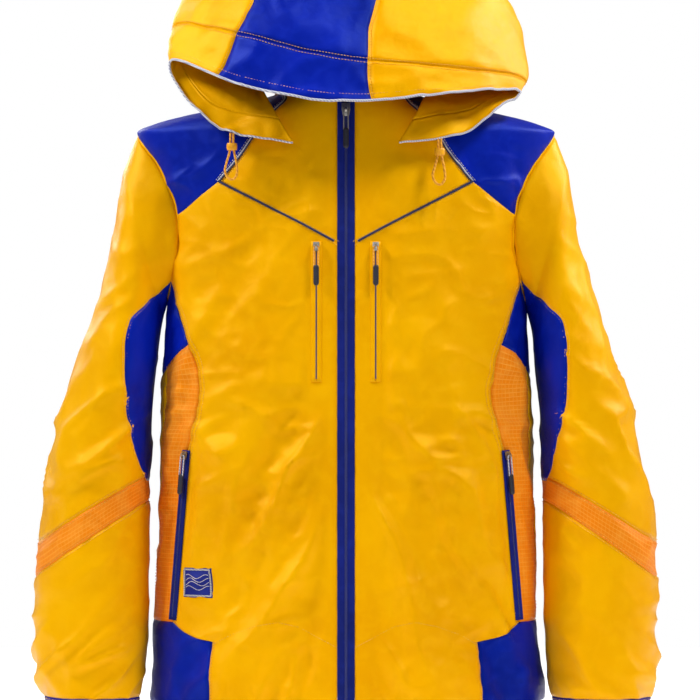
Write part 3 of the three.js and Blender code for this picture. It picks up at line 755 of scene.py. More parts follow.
def fill_panel(surface, edge_a, edge_b, spacing=4.5):
    """A dense grid of cells between two edges with as many corners."""
    rows_a, rows_b = [edge_a[:1]], [edge_b[:1]]
    for k in range(len(edge_a) - 1):
        steps = [seam_step(edge[k], edge[k + 1]) for edge in (edge_a, edge_b)]
        length = 0
        for step in steps:
            points = surface(*step(6).T)
            length = max(length, np.linalg.norm(np.diff(points, axis=0), axis=1).sum())
        count = max(1, int(round(length / spacing)))
        rows_a.append(steps[0](count)[1:])
        rows_b.append(steps[1](count)[1:])
    rows_a, rows_b = np.concatenate(rows_a), np.concatenate(rows_b)
    width = np.linalg.norm(surface(*rows_a.T) - surface(*rows_b.T), axis=1).max()
    share = np.linspace(0, 1, max(3, int(round(width / spacing))) + 1)[None, :, None]
    return rows_a[:, None] * (1 - share) + rows_b[:, None] * share


hem_curve = seam_points((156, -699), (154, -660), (154, -627), (180, -621))
seam_low = seam_points((200, -606), (196, -550), (193, -500), (188, -450), (182, -406), (172, -374))
seam_high = seam_points((168, -333), (179, -287))
yoke_low = seam_points((188, -132), (172, -119))
yoke_edge = seam_points((146, -99), (122, -70), (102, -40), (84, -18), (70, -4))
yoke_edge = np.concatenate([yoke_edge, [[math.radians(54), NECK_Z]]])
chest_seam = seam_points((45, -151), (80, -133), (115, -115))
zip_line = lambda *levels: seam_points(*[(10, z) for z in levels])
front_arc = armhole(np.linspace(136, 87, 4))
neck_arc = np.array([(math.radians(a), NECK_Z) for a in (72, 90, 108)])
princess = np.concatenate([seam_low, seam_high, front_arc[:1]])
chest_line = np.concatenate([zip_line(-170), chest_seam, yoke_edge[:1]])
for whole in (princess, chest_line, yoke_edge, hem_curve[:3], np.concatenate([hem_curve[2:], seam_low[:1]])):
    draw_seam(whole)
    draw_seam(mirrored(whole))
print("seam steps", len(seam_steps))

# %% [markdown]
# The armhole is a round seam, so its steps are taken on the round itself. Then come the tools
# that cut every panel of the shell: yellow fronts, chests and side panels, blue yokes, underarm
# inserts and hem sides, and the orange ripstop strips. Each takes its solid's place on the shell.

# %% Armhole and underarm seams
def arc_corners(start, end, steps):
    """Corners on the armhole, whose steps follow its round."""
    degrees = np.linspace(start, end, steps + 1)
    corners = armhole(degrees)
    for k in range(steps):
        a, b = degrees[k], degrees[k + 1]
        seam_steps[step_key(corners[k], corners[k + 1])] = (
            lambda count, a=a, b=b: armhole(np.linspace(a, b, count + 1))
        )
    return corners


yoke_seam = np.concatenate([front_arc[-1:], yoke_low, yoke_edge[:1]])
draw_seam(yoke_seam)
draw_seam(mirrored(yoke_seam))
HALF_TURN = math.pi / 2
STRIP_SHARE = 0.55
INSERT_LOW_Z = -287
INSERT_RISE = 35
tip_turn = seam_high[1][0]
strip_top = tip_turn + (HALF_TURN - tip_turn) * STRIP_SHARE
insert_turns = np.concatenate([[tip_turn], np.linspace(strip_top, math.pi - tip_turn, 9)])
insert_depth = 1 - np.abs(insert_turns - HALF_TURN) / (HALF_TURN - tip_turn)
insert_edge = np.stack([insert_turns, INSERT_LOW_Z - INSERT_RISE * np.sin(insert_depth * HALF_TURN)], 1)
draw_seam(insert_edge)


def side_grid(edge_a, edge_b, spacing=4.5):
    grid = fill_panel(body, edge_a, edge_b, spacing)
    for row in (0, -1):
        if np.allclose(grid[row, 0], grid[row, -1]):
            near = 1 if row == 0 else -2
            grid[row] = grid[row] + (grid[near] - grid[row]) * 0.12
    return grid


def place_panel(name, node, grid, finish, body_name="shell", held="hung", rests_on=(), **options):
    piece = cloth_panel(name, BODY, grid, finish, **options)
    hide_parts(node)
    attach(piece, body_name)
    declare_sheet(piece)
    return piece


print("seams drawn", len(seam_steps))

# %% [markdown]
# Each panel is filled between two of its edges, both drawn in the same direction. The side panel
# starts level with the underarm insert's curved lower edge, which fades out further down.

# %% Panels filled and placed
strip_inner = np.concatenate([seam_low, seam_high])[::-1]
shares = STRIP_SHARE + 0.03 * np.arange(len(strip_inner))[:, None]
strip_outer = strip_inner.copy()
strip_outer[:, :1] += (HALF_TURN - strip_inner[:, :1]) * shares
strip_outer[0] = insert_edge[1]
draw_seam(strip_outer[1:])
front_outer = np.concatenate([hem_curve, seam_low, seam_high, front_arc, yoke_low, yoke_edge[:1]])
front_inner = np.concatenate([
    zip_line(HEM_Z, -675, -650, -622, -590, -550, -500, -450, -406, -374, -333, -287, -250, -225, -170),
    chest_seam,
    yoke_edge[:1],
])
chest_inner = zip_line(-170, -162, -150, -130, -110, -80, -50, -25, -8, NECK_Z)
chest_outer = np.concatenate([zip_line(-170), chest_seam, yoke_edge])
yoke_half = np.concatenate([yoke_low, yoke_edge])
yoke_inner = np.concatenate([front_arc[-1:], yoke_half, neck_arc, mirrored(yoke_half)[::-1],
                             mirrored(front_arc[-1:])])
yoke_outer = arc_corners(87, -87, len(yoke_inner) - 1)
arc_corners(136, 87, 3)
arc_corners(-136, -87, 3)
insert_top = arc_corners(136, 224, len(insert_edge) - 1)
side_back = np.concatenate([insert_edge[-1:], mirrored(strip_inner)[1:]])
hem_edge = np.concatenate([hem_curve, seam_low[:1]])
shell_grids = {
    "front": (side_grid(front_inner, front_outer), YELLOW),
    "chest": (side_grid(chest_inner, chest_outer), YELLOW),
    "shoulder_yoke": (side_grid(yoke_inner, yoke_outer), BLUE),
    "underarm_insert": (side_grid(insert_edge, insert_top), BLUE),
    "side_strip": (side_grid(strip_outer, strip_inner), ORANGE),
    "hem_side": (side_grid(hem_edge, mirrored(hem_edge)), BLUE),
}
side_cells = side_grid(strip_outer, side_back)
top = 1 - np.abs(side_cells[0, :, 0] - HALF_TURN) / (HALF_TURN - tip_turn)
curve_z = INSERT_LOW_Z - INSERT_RISE * np.sin(np.clip(top, 0, 1) * HALF_TURN)
fade = np.clip(1 - (side_cells[0, 0, 1] - side_cells[:, :1, 1]) / 45, 0, 1)
side_cells[:, :, 1] += (curve_z - side_cells[0, :, 1])[None] * fade
shell_grids["side_panel"] = (side_cells, YELLOW)
shell_pieces = []
for part, (grid, finish) in shell_grids.items():
    for hand, side in (("left", 1), ("right", -1)):
        piece = place_panel(f"{part}_cloth_{hand}", f"{part}_{hand}", grid, finish, side=side)
        shell_pieces.append(piece)

back_edge = np.concatenate([
    mirrored(np.concatenate([hem_curve, seam_low, seam_high])),
    armhole(np.linspace(-136, -87, 4)),
    mirrored(np.concatenate([yoke_low, yoke_edge])),
])
back_grid = side_grid(back_edge, back_edge * (-1, 1) + (2 * math.pi, 0), 5.0)
print("back grid", back_grid.shape, "panels", len(shell_pieces))

# %% [markdown]
# The back's two edges are mirror images, and its middle has to lie on the true round of the
# back, so the turns in each row are spread evenly between them.

# %% Back and collar
piece = place_panel("back_cloth", "back", back_grid, YELLOW)
shell_pieces.append(piece)
collar_z = np.linspace(NECK_Z, COLLAR_Z - 0.5, 11)
collar_start = turn_at_x(10.0, collar_z)
collar_share = np.linspace(0, 1, 121)[None]
collar_turn = collar_start[:, None] * (1 - 2 * collar_share) + 2 * math.pi * collar_share
collar_grid = np.stack([collar_turn, np.broadcast_to(collar_z[:, None], collar_turn.shape)], 2)
piece = place_panel("collar_cloth", "collar", collar_grid, YELLOW, inside=BLUE)
print("collar", collar_grid.shape)

# %% [markdown]
# Inside hang a mesh lining, open at the zip, and above the hem a powder skirt that closes round
# the hips. They lie a finger's width in from the shell, so the shell's folds clear them.

# %% Lining and powder skirt
def soft_inside(points):
    return 1.4 * noise(points, (50, 80, 120), 41) + 0.5 * noise(points, 18, 42)


INSIDE = (body, 0.01, 1.0, 1, soft_inside)
for name, node, low, high, lift, finish, slot in (
    ("lining_cloth", "lining", HEM_Z + 24, -259, -11.8, LINING, "lining_dark"),
    ("powder_skirt_cloth", "powder_skirt", -600, -530, -15.2, BLUE, "shell_blue"),
):
    levels = np.linspace(low, high, int((high - low) / 9) + 1)
    start = turn_at_x(34.0, levels)[:, None]
    share = np.linspace(0, 1, 141)[None]
    turns = start * (1 - 2 * share) + 2 * math.pi * share
    grid = np.stack([turns, np.broadcast_to(levels[:, None], turns.shape)], 2)
    piece = cloth_panel(name, INSIDE, grid, finish, thick=1.0, lift=lift)
    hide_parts(node)
    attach(piece, "shell")
    declare_sheet(piece)
    print(name, grid.shape)

# %% [markdown]
# The hood is six pieces: a brim band and a crown, each with a blue middle and a yellow side.
# The crown tapers to the neck seam, where it bends between the shell and the hood when the
# hood is pushed back, so those pieces are left where they lie and the brim rides with the hood.

# %% Hood pieces
HOOD = (hood, 0.02, 0.02, -1, hood_folds)
BRIM_SHARE = 0.62
HOOD_TAIL = 4.97


def centre_half(along):
    return np.where(along < 1, 0.78 + (0.55 - 0.78) * along, 0.55)


def centre_middle(along):
    return 4 + 0.52 * (1 - along / 5)


def hood_cells(part, low, high, rows, columns):
    along = np.linspace(low, high, rows + 1)[:, None]
    share = np.linspace(0, 1, columns + 1)[None]
    start, end = {
        "left": (0 * along, centre_middle(along) - centre_half(along)),
        "centre": (centre_middle(along) - centre_half(along), centre_middle(along) + centre_half(along)),
        "right": (centre_middle(along) + centre_half(along), 8 + 0 * along),
    }[part]
    across = start + (end - start) * share
    return np.stack([across, np.broadcast_to(along, across.shape)], 2)


for band, low, high, rows in (("hood_brim", 0, BRIM_SHARE, 12), ("hood", BRIM_SHARE, HOOD_TAIL, 64)):
    for part, columns, finish in (("left", 48, YELLOW), ("centre", 30, BLUE), ("right", 48, YELLOW)):
        grid = hood_cells(part, low, high, rows, columns)
        piece = cloth_panel(f"{band}_cloth_{part}", HOOD, grid, finish, thick=2.0)
        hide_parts(f"{band}_{part}")
        if band == "hood":
            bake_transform(piece)
        else:
            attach(piece, "hood")
        declare_sheet(piece)
print("hood pieces 6")

# %% [markdown]
# A sleeve is a tube of ovals from the armhole to the cuff. Its yellow cloth is cut by a slanting
# ripstop band at the forearm, and the blue underarm insert runs down its inner side as a long
# gusset. The first stretch of cloth bends between shell and sleeve when the arm is raised.

# %% Sleeve surface
SLEEVE_ROWS = np.array([
    (1, 259, -85, 213, -252, 56, -76), (2, 272, -165, 218, -276, 64, -78),
    (3, 292, -245, 222, -316, 68, -80), (4, 325, -350, 227, -376, 68, -84),
    (5, 345, -440, 229, -446, 66, -90), (6, 360, -540, 229, -536, 62, -98),
    (7, 359, -640, 231, -640, 57, -106), (8, 350, -694, 238, -694, 52, -110),
    (9, 342, -728, 246, -728, 46, -112),
], float)
SLEEVE_SLOPES = steady_slopes(SLEEVE_ROWS)


def sleeve(angle, along):
    """Points of a sleeve. angle is 0 on its outer side, a right angle in front."""
    angle = np.asarray(angle, float)
    along = np.asarray(along, float)
    outer_x, outer_z, inner_x, inner_z, deep, mid = steady_curve(
        SLEEVE_ROWS, SLEEVE_SLOPES, np.maximum(along, 1)).T
    share = (1 + np.cos(angle)) / 2
    x = inner_x + (outer_x - inner_x) * share
    z = inner_z + (outer_z - inner_z) * share
    ring = np.stack([x, mid - deep * np.sin(angle), z], 1)
    hole = armhole(np.degrees(angle))
    start = body(*hole.T) + 0.8 * way_out(body, *hole.T, 0.01, 1.0, 1)
    part = np.clip(along, 0, 1)[:, None]
    return np.where(along[:, None] < 1, start + (ring - start) * part, ring)


SLEEVE = (sleeve, 0.02, 0.02, 1, sleeve_folds)
print("sleeve at the elbow", sleeve([0.0, math.pi], [5.0, 5.0]).round(1).tolist())

# %% Sleeve pieces
def band_top(angle):
    return 5.33 + 0.43 * np.cos(angle)


def band_low(angle):
    return 5.7 + 0.45 * np.cos(angle)


def ring_cells(start, end, rows, columns=88):
    angle = np.linspace(0, 2 * math.pi, columns + 1)[None]
    share = np.linspace(0, 1, rows + 1)[:, None]
    along = start(angle) + (end(angle) - start(angle)) * share
    return np.stack([np.broadcast_to(angle, along.shape), along], 2)


def level(value):
    return lambda angle: value + 0 * angle


sleeve_parts = (
    ("sleeve_upper", level(0.0), band_top, 76, YELLOW),
    ("sleeve_band", band_top, band_low, 9, ORANGE),
    ("sleeve_lower", band_low, level(8.0), 44, YELLOW),
    ("cuff", level(8.0), level(9.0), 8, BLUE),
)
for hand, side in (("left", 1), ("right", -1)):
    for part, start, end, rows, finish in sleeve_parts:
        cells = ring_cells(start, end, rows)
        piece = cloth_panel(f"{part}_cloth_{hand}", SLEEVE, cells, finish, side=side, ring=True)
        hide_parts(f"{part}_{hand}")
        if part == "sleeve_upper":
            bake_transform(piece)
        else:
            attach(piece, f"sleeve_{hand}")
        declare_sheet(piece)
print("sleeve pieces", 2 * len(sleeve_parts))

# %% [markdown]
# The gusset lies on the sleeve as an almond: its front edge is given as a share of the sleeve's
# width at a few places along it, and its back edge mirrors the front one.

# %% Sleeve gusset
GUSSET_ALONG = [0.0, 1.0, 2.0, 2.6, 3.0, 4.0, 4.7, 5.0]
GUSSET_SHARE = [0.14, 0.13, 0.29, 0.46, 0.47, 0.25, 0.10, 0.02]
gusset_along = np.linspace(0.0, 4.98, 74)
gusset_share = np.interp(gusset_along, GUSSET_ALONG, GUSSET_SHARE)
for _ in range(3):
    gusset_share[1:-1] = (gusset_share[:-2] + 2 * gusset_share[1:-1] + gusset_share[2:]) / 4
gusset_front = np.arccos(2 * gusset_share - 1)
share = np.linspace(0, 1, 37)[None]
gusset_angle = gusset_front[:, None] * (1 - 2 * share) + 2 * math.pi * share
gusset_cells = np.stack([gusset_angle, np.broadcast_to(gusset_along[:, None], gusset_angle.shape)], 2)
for hand, side in (("left", 1), ("right", -1)):
    piece = cloth_panel(
        f"sleeve_gusset_cloth_{hand}", SLEEVE, gusset_cells, BLUE, side=side, thick=1.6, lift=1.1
    )
    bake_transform(piece)
    declare_sheet(piece)
    tab_angle, tab_along = np.meshgrid(np.linspace(-0.2, 1.7, 30), np.linspace(8.3, 8.8, 7))
    tab_cells = np.stack([tab_angle, tab_along], 2)
    piece = cloth_panel(
        f"cuff_tab_cloth_{hand}", SLEEVE, tab_cells, BLUE, side=side, thick=2.0, lift=3.2
    )
    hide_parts(f"cuff_tab_{hand}")
    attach(piece, f"sleeve_{hand}")
    declare_sheet(piece)
print("gussets and cuff tabs 4")

# %% [markdown]
# Piping, binding and cords are round things that follow a path. One node tree makes them all:
# it turns a line of edges into a curve, and runs a round section of a given radius along it.
# Its result is kept as a plain mesh, because later calls need real points.

# %% Node tree for piping
def interface(tree, name, kind, value=None, way="INPUT"):
    socket = tree.interface.new_socket(name=name, in_out=way, socket_type=kind)
    if value is not None:
        socket.default_value = value
    return socket


def piping_tree():
    tree = bpy.data.node_groups.new("round_piping", "GeometryNodeTree")
    interface(tree, "Geometry", "NodeSocketGeometry", way="OUTPUT")
    interface(tree, "Line", "NodeSocketGeometry")
    interface(tree, "Radius", "NodeSocketFloat", 0.001)
    interface(tree, "Sides", "NodeSocketInt", 8)
    interface(tree, "Finish", "NodeSocketMaterial")
    enter = tree.nodes.new("NodeGroupInput")
    leave = tree.nodes.new("NodeGroupOutput")
    curve = tree.nodes.new("GeometryNodeMeshToCurve")
    section = tree.nodes.new("GeometryNodeCurvePrimitiveCircle")
    run = tree.nodes.new("GeometryNodeCurveToMesh")
    run.inputs["Fill Caps"].default_value = True
    smooth = tree.nodes.new("GeometryNodeSetShadeSmooth")
    real = tree.nodes.new("GeometryNodeRealizeInstances")
    paint = tree.nodes.new("GeometryNodeSetMaterial")
    link = tree.links.new
    link(enter.outputs["Line"], curve.inputs[0])
    link(enter.outputs["Radius"], section.inputs["Radius"])
    link(enter.outputs["Sides"], section.inputs["Resolution"])
    link(curve.outputs[0], run.inputs["Curve"])
    link(section.outputs["Curve"], run.inputs["Profile Curve"])
    link(run.outputs[0], smooth.inputs["Geometry"])
    link(smooth.outputs[0], real.inputs[0])
    link(real.outputs[0], paint.inputs["Geometry"])
    link(enter.outputs["Finish"], paint.inputs["Material"])
    link(paint.outputs[0], leave.inputs[0])
    return tree


PIPING = piping_tree()


def grown(name, lines, tree, **sizes):
    """A plain mesh object that a tree grows on one or more lines of points in millimetres."""
    corners, edges = [], []
    for line in lines:
        first = len(corners)
        corners += (np.asarray(line, float) * MM).tolist()
        edges += [(k, k + 1) for k in range(first, len(corners) - 1)]
    mesh = bpy.data.meshes.new(name + "_line")
    mesh.from_pydata(corners, edges, [])
    carrier = bpy.data.objects.new(name + "_line", mesh)
    bpy.context.scene.collection.objects.link(carrier)
    modifier = carrier.modifiers.new("grow", "NODES")
    modifier.node_group = tree
    for item in tree.interface.items_tree:
        if item.item_type == "SOCKET" and item.in_out == "INPUT" and item.name in sizes:
            modifier[item.identifier] = sizes[item.name]
    seen = carrier.evaluated_get(bpy.context.evaluated_depsgraph_get())
    result = bpy.data.meshes.new_from_object(seen)
    result.name = name
    piece = bpy.data.objects.new(name, result)
    bpy.context.scene.collection.objects.link(piece)
    bpy.data.objects.remove(carrier)
    return piece


print("piping tree nodes", len(PIPING.nodes))

# %% [markdown]
# Stitches are short rounded bars of thread at an even pitch. The second tree sets points along a
# line, one for each stitch, and puts a small ball stretched along the line on every point.

# %% Node tree for stitches
def stitch_tree():
    tree = bpy.data.node_groups.new("row_of_stitches", "GeometryNodeTree")
    interface(tree, "Geometry", "NodeSocketGeometry", way="OUTPUT")
    interface(tree, "Line", "NodeSocketGeometry")
    interface(tree, "Pitch", "NodeSocketFloat", 0.004)
    interface(tree, "Length", "NodeSocketFloat", 0.003)
    interface(tree, "Thread", "NodeSocketFloat", 0.0007)
    interface(tree, "Wobble", "NodeSocketFloat", 0.06)
    interface(tree, "Finish", "NodeSocketMaterial")
    enter = tree.nodes.new("NodeGroupInput")
    leave = tree.nodes.new("NodeGroupOutput")
    curve = tree.nodes.new("GeometryNodeMeshToCurve")
    spots = tree.nodes.new("GeometryNodeCurveToPoints")
    spots.mode = "LENGTH"
    ball = tree.nodes.new("GeometryNodeMeshIcoSphere")
    ball.inputs["Radius"].default_value = 0.5
    ball.inputs["Subdivisions"].default_value = 1
    size = tree.nodes.new("ShaderNodeCombineXYZ")
    vary = tree.nodes.new("FunctionNodeRandomValue")
    vary.data_type = "FLOAT"
    vary.inputs["Seed"].default_value = 3
    less = tree.nodes.new("ShaderNodeMath")
    less.operation = "SUBTRACT"
    less.inputs[0].default_value = 1.0
    length = tree.nodes.new("ShaderNodeMath")
    length.operation = "MULTIPLY"
    place = tree.nodes.new("GeometryNodeInstanceOnPoints")
    smooth = tree.nodes.new("GeometryNodeSetShadeSmooth")
    real = tree.nodes.new("GeometryNodeRealizeInstances")
    paint = tree.nodes.new("GeometryNodeSetMaterial")
    link = tree.links.new
    link(enter.outputs["Line"], curve.inputs[0])
    link(curve.outputs[0], spots.inputs["Curve"])
    link(enter.outputs["Pitch"], spots.inputs["Length"])
    link(enter.outputs["Wobble"], less.inputs[1])
    floats = [socket for socket in vary.inputs if socket.type == "VALUE"]
    floats[1].default_value = 1.0
    link(less.outputs[0], floats[0])
    spread = [socket for socket in vary.outputs if socket.type == "VALUE"][0]
    link(spread, length.inputs[0])
    link(enter.outputs["Length"], length.inputs[1])
    link(enter.outputs["Thread"], size.inputs[0])
    link(enter.outputs["Thread"], size.inputs[1])
    link(length.outputs[0], size.inputs[2])
    link(spots.outputs["Points"], place.inputs["Points"])
    link(spots.outputs["Rotation"], place.inputs["Rotation"])
    link(size.outputs[0], place.inputs["Scale"])
    link(ball.outputs[0], place.inputs["Instance"])
    link(place.outputs[0], smooth.inputs["Geometry"])
    link(smooth.outputs[0], real.inputs[0])
    link(real.outputs[0], paint.inputs["Geometry"])
    link(enter.outputs["Finish"], paint.inputs["Material"])
    link(paint.outputs[0], leave.inputs[0])
    return tree


STITCHES = stitch_tree()
print("stitch tree nodes", len(STITCHES.nodes))

# %% [markdown]
# Lines on the shell. Piping sits in the yoke and chest seams, and rows of topstitching hold the
# seams down: two beside each princess seam, one round the strips, inserts and hem sides, and a
# curved row where the hem facing is sewn to the fronts. All rows of one body are one mesh.

# %% Lines on the shell
def seam_line(corners, per=10):
    steps = [seam_step(corners[k], corners[k + 1])(per) for k in range(len(corners) - 1)]
    return np.concatenate([step[1:] if k else step for k, step in enumerate(steps)])


def evenly(cells, surface, spacing=4.0):
    """The same line with its places spread evenly along it."""
    points = surface(*cells.T)
    run = np.concatenate([[0], np.cumsum(np.linalg.norm(np.diff(points, axis=0), axis=1))])
    places = np.linspace(0, run[-1], max(4, int(run[-1] / spacing)))
    return np.stack([np.interp(places, run, cells[:, k]) for k in range(2)], 1)


yoke_line = evenly(seam_line(yoke_edge), body)
chest_seam_line = evenly(seam_line(chest_line), body)
princess_line = evenly(seam_line(princess), body)
hem_side_line = evenly(seam_line(hem_curve[:3]), body)
strip_line = evenly(seam_line(strip_outer), body)
facing_line = evenly(seam_points(
    (11, -632), (30, -622), (54, -609), (78, -604), (104, -609), (130, -618), (153, -630)), body)
light_threads = {}
gold_threads = {}


def keep(rows, body_name, line):
    rows.setdefault(body_name, []).append(line)


for side in (1, -1):
    for offset, line in (
        (2.4, princess_line), (7.0, princess_line), (2.4, chest_seam_line), (-2.4, chest_seam_line),
        (2.2, hem_side_line), (0.0, facing_line), (-2.4, strip_line),
    ):
        row = beside(BODY, line, offset) if offset else line
        keep(gold_threads, "shell", line_on(BODY, row, side, 0.35, max(abs(offset), 2.4)))
    for offset in (-3.2, 3.2):
        row = beside(BODY, yoke_line, offset)
        keep(light_threads if offset < 0 else gold_threads, "shell", line_on(BODY, row, side, 0.35, 3.2))
for node, finish, offset, radius in (
    ("yoke_piping_pale", PALE, -0.9, 0.9), ("yoke_piping_navy", NAVY, 0.9, 0.8),
):
    lines = [line_on(BODY, beside(BODY, yoke_line, offset), side, 0.9, 1.0) for side in (1, -1)]
    piece = grown(node, lines, PIPING, Radius=radius * MM, Sides=8, Finish=finish)
    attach(piece, "shell")
whole_hole = armhole(np.linspace(0, 360, 150))
lines = [line_on(BODY, whole_hole, side, -0.2, 0.0) for side in (1, -1)]
piece = grown("armhole_welt", lines, PIPING, Radius=1.6 * MM, Sides=8, Finish=YELLOW)
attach(piece, "shell")
lines = [line_on(BODY, chest_seam_line[1:], side, 1.1, 0.0) for side in (1, -1)]
piece = grown("chest_piping", lines, PIPING, Radius=1.3 * MM, Sides=8, Finish=NAVY)
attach(piece, "shell")
print("rows on the shell", len(gold_threads["shell"]) + len(light_threads["shell"]))

# %% [markdown]
# The hood's brim edge is bound with a pale tape, with a drawcord channel stitched above it and
# two rows of stitching along the band seam. The crown's seams have a row on each side.

# %% Lines on the hood
def hood_line(across, along, offset, lift=0.35):
    cells = np.stack(np.broadcast_arrays(across, along), 1).astype(float)
    row = beside(HOOD, cells, offset) if offset else cells
    return line_on(HOOD, row, 1, lift, max(abs(offset), 2.0))


whole_arch = np.linspace(0.02, 7.98, 150)
for offset in (2.4, -2.4):
    keep(gold_threads, "hood", hood_line(whole_arch, 0 * whole_arch + BRIM_SHARE, offset))
keep(gold_threads, "hood", hood_line(whole_arch, 0 * whole_arch + 0.15, 0))
run = np.linspace(0.02, 4.6, 90)
for sign in (-1, 1):
    keep(gold_threads, "hood", hood_line(centre_middle(run) + sign * centre_half(run), run, 2.6 * sign))
edge = hood_line(np.linspace(0.02, 7.98, 170), np.zeros(170), 0, lift=-0.6)
piece = grown("brim_binding", [edge], PIPING, Radius=1.5 * MM, Sides=10, Finish=PALE)
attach(piece, "hood")
for band_name, rows, finish in (("gold", gold_threads, GOLD_THREAD), ("light", light_threads, PALE_THREAD)):
    for body_name, lines in rows.items():
        piece = grown(f"{band_name}_stitches_{body_name}", lines, STITCHES, Pitch=3.6 * MM,
                      Length=2.9 * MM, Thread=0.8 * MM, Wobble=0.08, Finish=finish)
        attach(piece, body_name)
        print(piece.name, len(piece.data.polygons), "faces")

# %% [markdown]
# On the sleeves the rows follow the band's two edges and the gusset's outline. The gusset's
# rows cross the shoulder joint with the cloth, so they are left where they lie, as that cloth is.

# %% Lines on the sleeves
round_arm = np.linspace(0, 2 * math.pi, 120)
for hand, side in (("left", 1), ("right", -1)):
    lines = []
    for edge_of, offset in ((band_top, 2.4), (band_top, -2.4), (band_low, 2.4), (band_low, -2.4)):
        cells = np.stack([round_arm, edge_of(round_arm)], 1)
        lines.append(line_on(SLEEVE, beside(SLEEVE, cells, offset), side, 0.35, 2.4))
    cells = np.stack([round_arm, 0 * round_arm + 8.0], 1)
    lines.append(line_on(SLEEVE, beside(SLEEVE, cells, 2.4), side, 0.35, 2.4))
    piece = grown(f"band_stitches_{hand}", lines, STITCHES, Pitch=3.6 * MM,
                  Length=2.9 * MM, Thread=0.8 * MM, Wobble=0.08, Finish=GOLD_THREAD)
    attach(piece, f"sleeve_{hand}")
    lines = []
    for sign in (1, -1):
        angle = math.pi + sign * (math.pi - gusset_front)
        cells = np.stack([angle, gusset_along], 1)[2:]
        lines.append(line_on(SLEEVE, beside(SLEEVE, cells, -sign * 2.4), side, 1.4, 2.4))
        lines.append(line_on(SLEEVE, beside(SLEEVE, cells, sign * 2.4), side, 0.35, 9.0))
    piece = grown(f"gusset_stitches_{hand}", lines, STITCHES, Pitch=3.6 * MM,
                  Length=2.9 * MM, Thread=0.8 * MM, Wobble=0.08, Finish=GOLD_THREAD)
    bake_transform(piece)
print("sleeve rows done")

# %% [markdown]
# A coil zip is two nylon wires wound into rows of loops, which mesh along the middle. Each
# loop is a small tooth, turned a little to its own side. The third tree sets teeth at a pitch
# along a line, and the two sides are the same row moved half a pitch.

# %% Node tree for zip teeth
def teeth_tree():
    tree = bpy.data.node_groups.new("row_of_teeth", "GeometryNodeTree")
    interface(tree, "Geometry", "NodeSocketGeometry", way="OUTPUT")
    interface(tree, "Line", "NodeSocketGeometry")
    interface(tree, "Pitch", "NodeSocketFloat", 0.0018)
    interface(tree, "Tooth", "NodeSocketVector", (0.0028, 0.0014, 0.0013))
    interface(tree, "Finish", "NodeSocketMaterial")
    enter = tree.nodes.new("NodeGroupInput")
    leave = tree.nodes.new("NodeGroupOutput")
    curve = tree.nodes.new("GeometryNodeMeshToCurve")
    spots = tree.nodes.new("GeometryNodeCurveToPoints")
    spots.mode = "LENGTH"
    ball = tree.nodes.new("GeometryNodeMeshUVSphere")
    ball.inputs["Segments"].default_value = 6
    ball.inputs["Rings"].default_value = 4
    ball.inputs["Radius"].default_value = 0.5
    place = tree.nodes.new("GeometryNodeInstanceOnPoints")
    smooth = tree.nodes.new("GeometryNodeSetShadeSmooth")
    real = tree.nodes.new("GeometryNodeRealizeInstances")
    paint = tree.nodes.new("GeometryNodeSetMaterial")
    link = tree.links.new
    link(enter.outputs["Line"], curve.inputs[0])
    link(curve.outputs[0], spots.inputs["Curve"])
    link(enter.outputs["Pitch"], spots.inputs["Length"])
    link(spots.outputs["Points"], place.inputs["Points"])
    link(enter.outputs["Tooth"], place.inputs["Scale"])
    link(ball.outputs[0], place.inputs["Instance"])
    link(place.outputs[0], smooth.inputs["Geometry"])
    link(smooth.outputs[0], real.inputs[0])
    link(real.outputs[0], paint.inputs["Geometry"])
    link(enter.outputs["Finish"], paint.inputs["Material"])
    link(paint.outputs[0], leave.inputs[0])
    return tree


TEETH = teeth_tree()
print("teeth tree nodes", len(TEETH.nodes))

# %% [markdown]
# Every zip has its own frame of directions: across it, into the cloth, and up along it. Tapes,
# pulls and grips are made in that frame, then set in place with it.

# %% Zip frames
def unit(vector):
    vector = np.asarray(vector, float)
    return vector / np.linalg.norm(vector)


def on_front(x, z, side=1):
    place = np.array([[turn_at_x(np.array([x]), np.array([z]))[0], z]])
    point = body(*place.T)[0]
    out = way_out(body, *place.T, 0.01, 1.0, 1)[0]
    return point * (side, 1, 1), out * (side, 1, 1)


def zip_frame(low, high, outward):
    up = unit(high - low)
    into = -np.asarray(outward, float)
    into = unit(into - up * (into @ up))
    return np.stack([np.cross(into, up), into, up], 1)


main_low = np.array([0, front_y(HEM_Z), HEM_Z], float)
main_high = np.array([0, front_y(COLLAR_Z), COLLAR_Z], float)
main_up = unit(main_high - main_low)
main_out = np.array([0, -main_up[2], main_up[1]])
zips = {"main_zip": dict(low=main_low, high=main_high, out=main_out, width=20, tape=1.6, lift=-1.6,
                         slider=684, teeth=(2.9, 1.5, 1.3), pitch=1.75)}
for hand, side in (("left", 1), ("right", -1)):
    _, out = on_front(CHEST_ZIP_X, -249, side)
    zips[f"chest_zip_{hand}"] = dict(
        low=on_front(CHEST_ZIP_X, -330, side)[0], high=on_front(CHEST_ZIP_X, -168, side)[0],
        out=out, width=12, tape=1.2, lift=0.35, slider=156, teeth=(1.6, 0.9, 0.9), pitch=1.3)
    _, out = on_front(191, -506, side)
    zips[f"hand_zip_{hand}"] = dict(
        low=on_front(199, -604, side)[0], high=on_front(183, -408, side)[0],
        out=out, width=12, tape=1.2, lift=1.05, slider=190, teeth=(2.0, 1.1, 1.0), pitch=1.4)
for spec in zips.values():
    spec["frame"] = zip_frame(spec["low"], spec["high"], spec["out"])
    spec["length"] = float(np.linalg.norm(spec["high"] - spec["low"]))
    spec["seat"] = spec["lift"] + spec["tape"] + 0.35
print({name: round(spec["length"]) for name, spec in zips.items()})


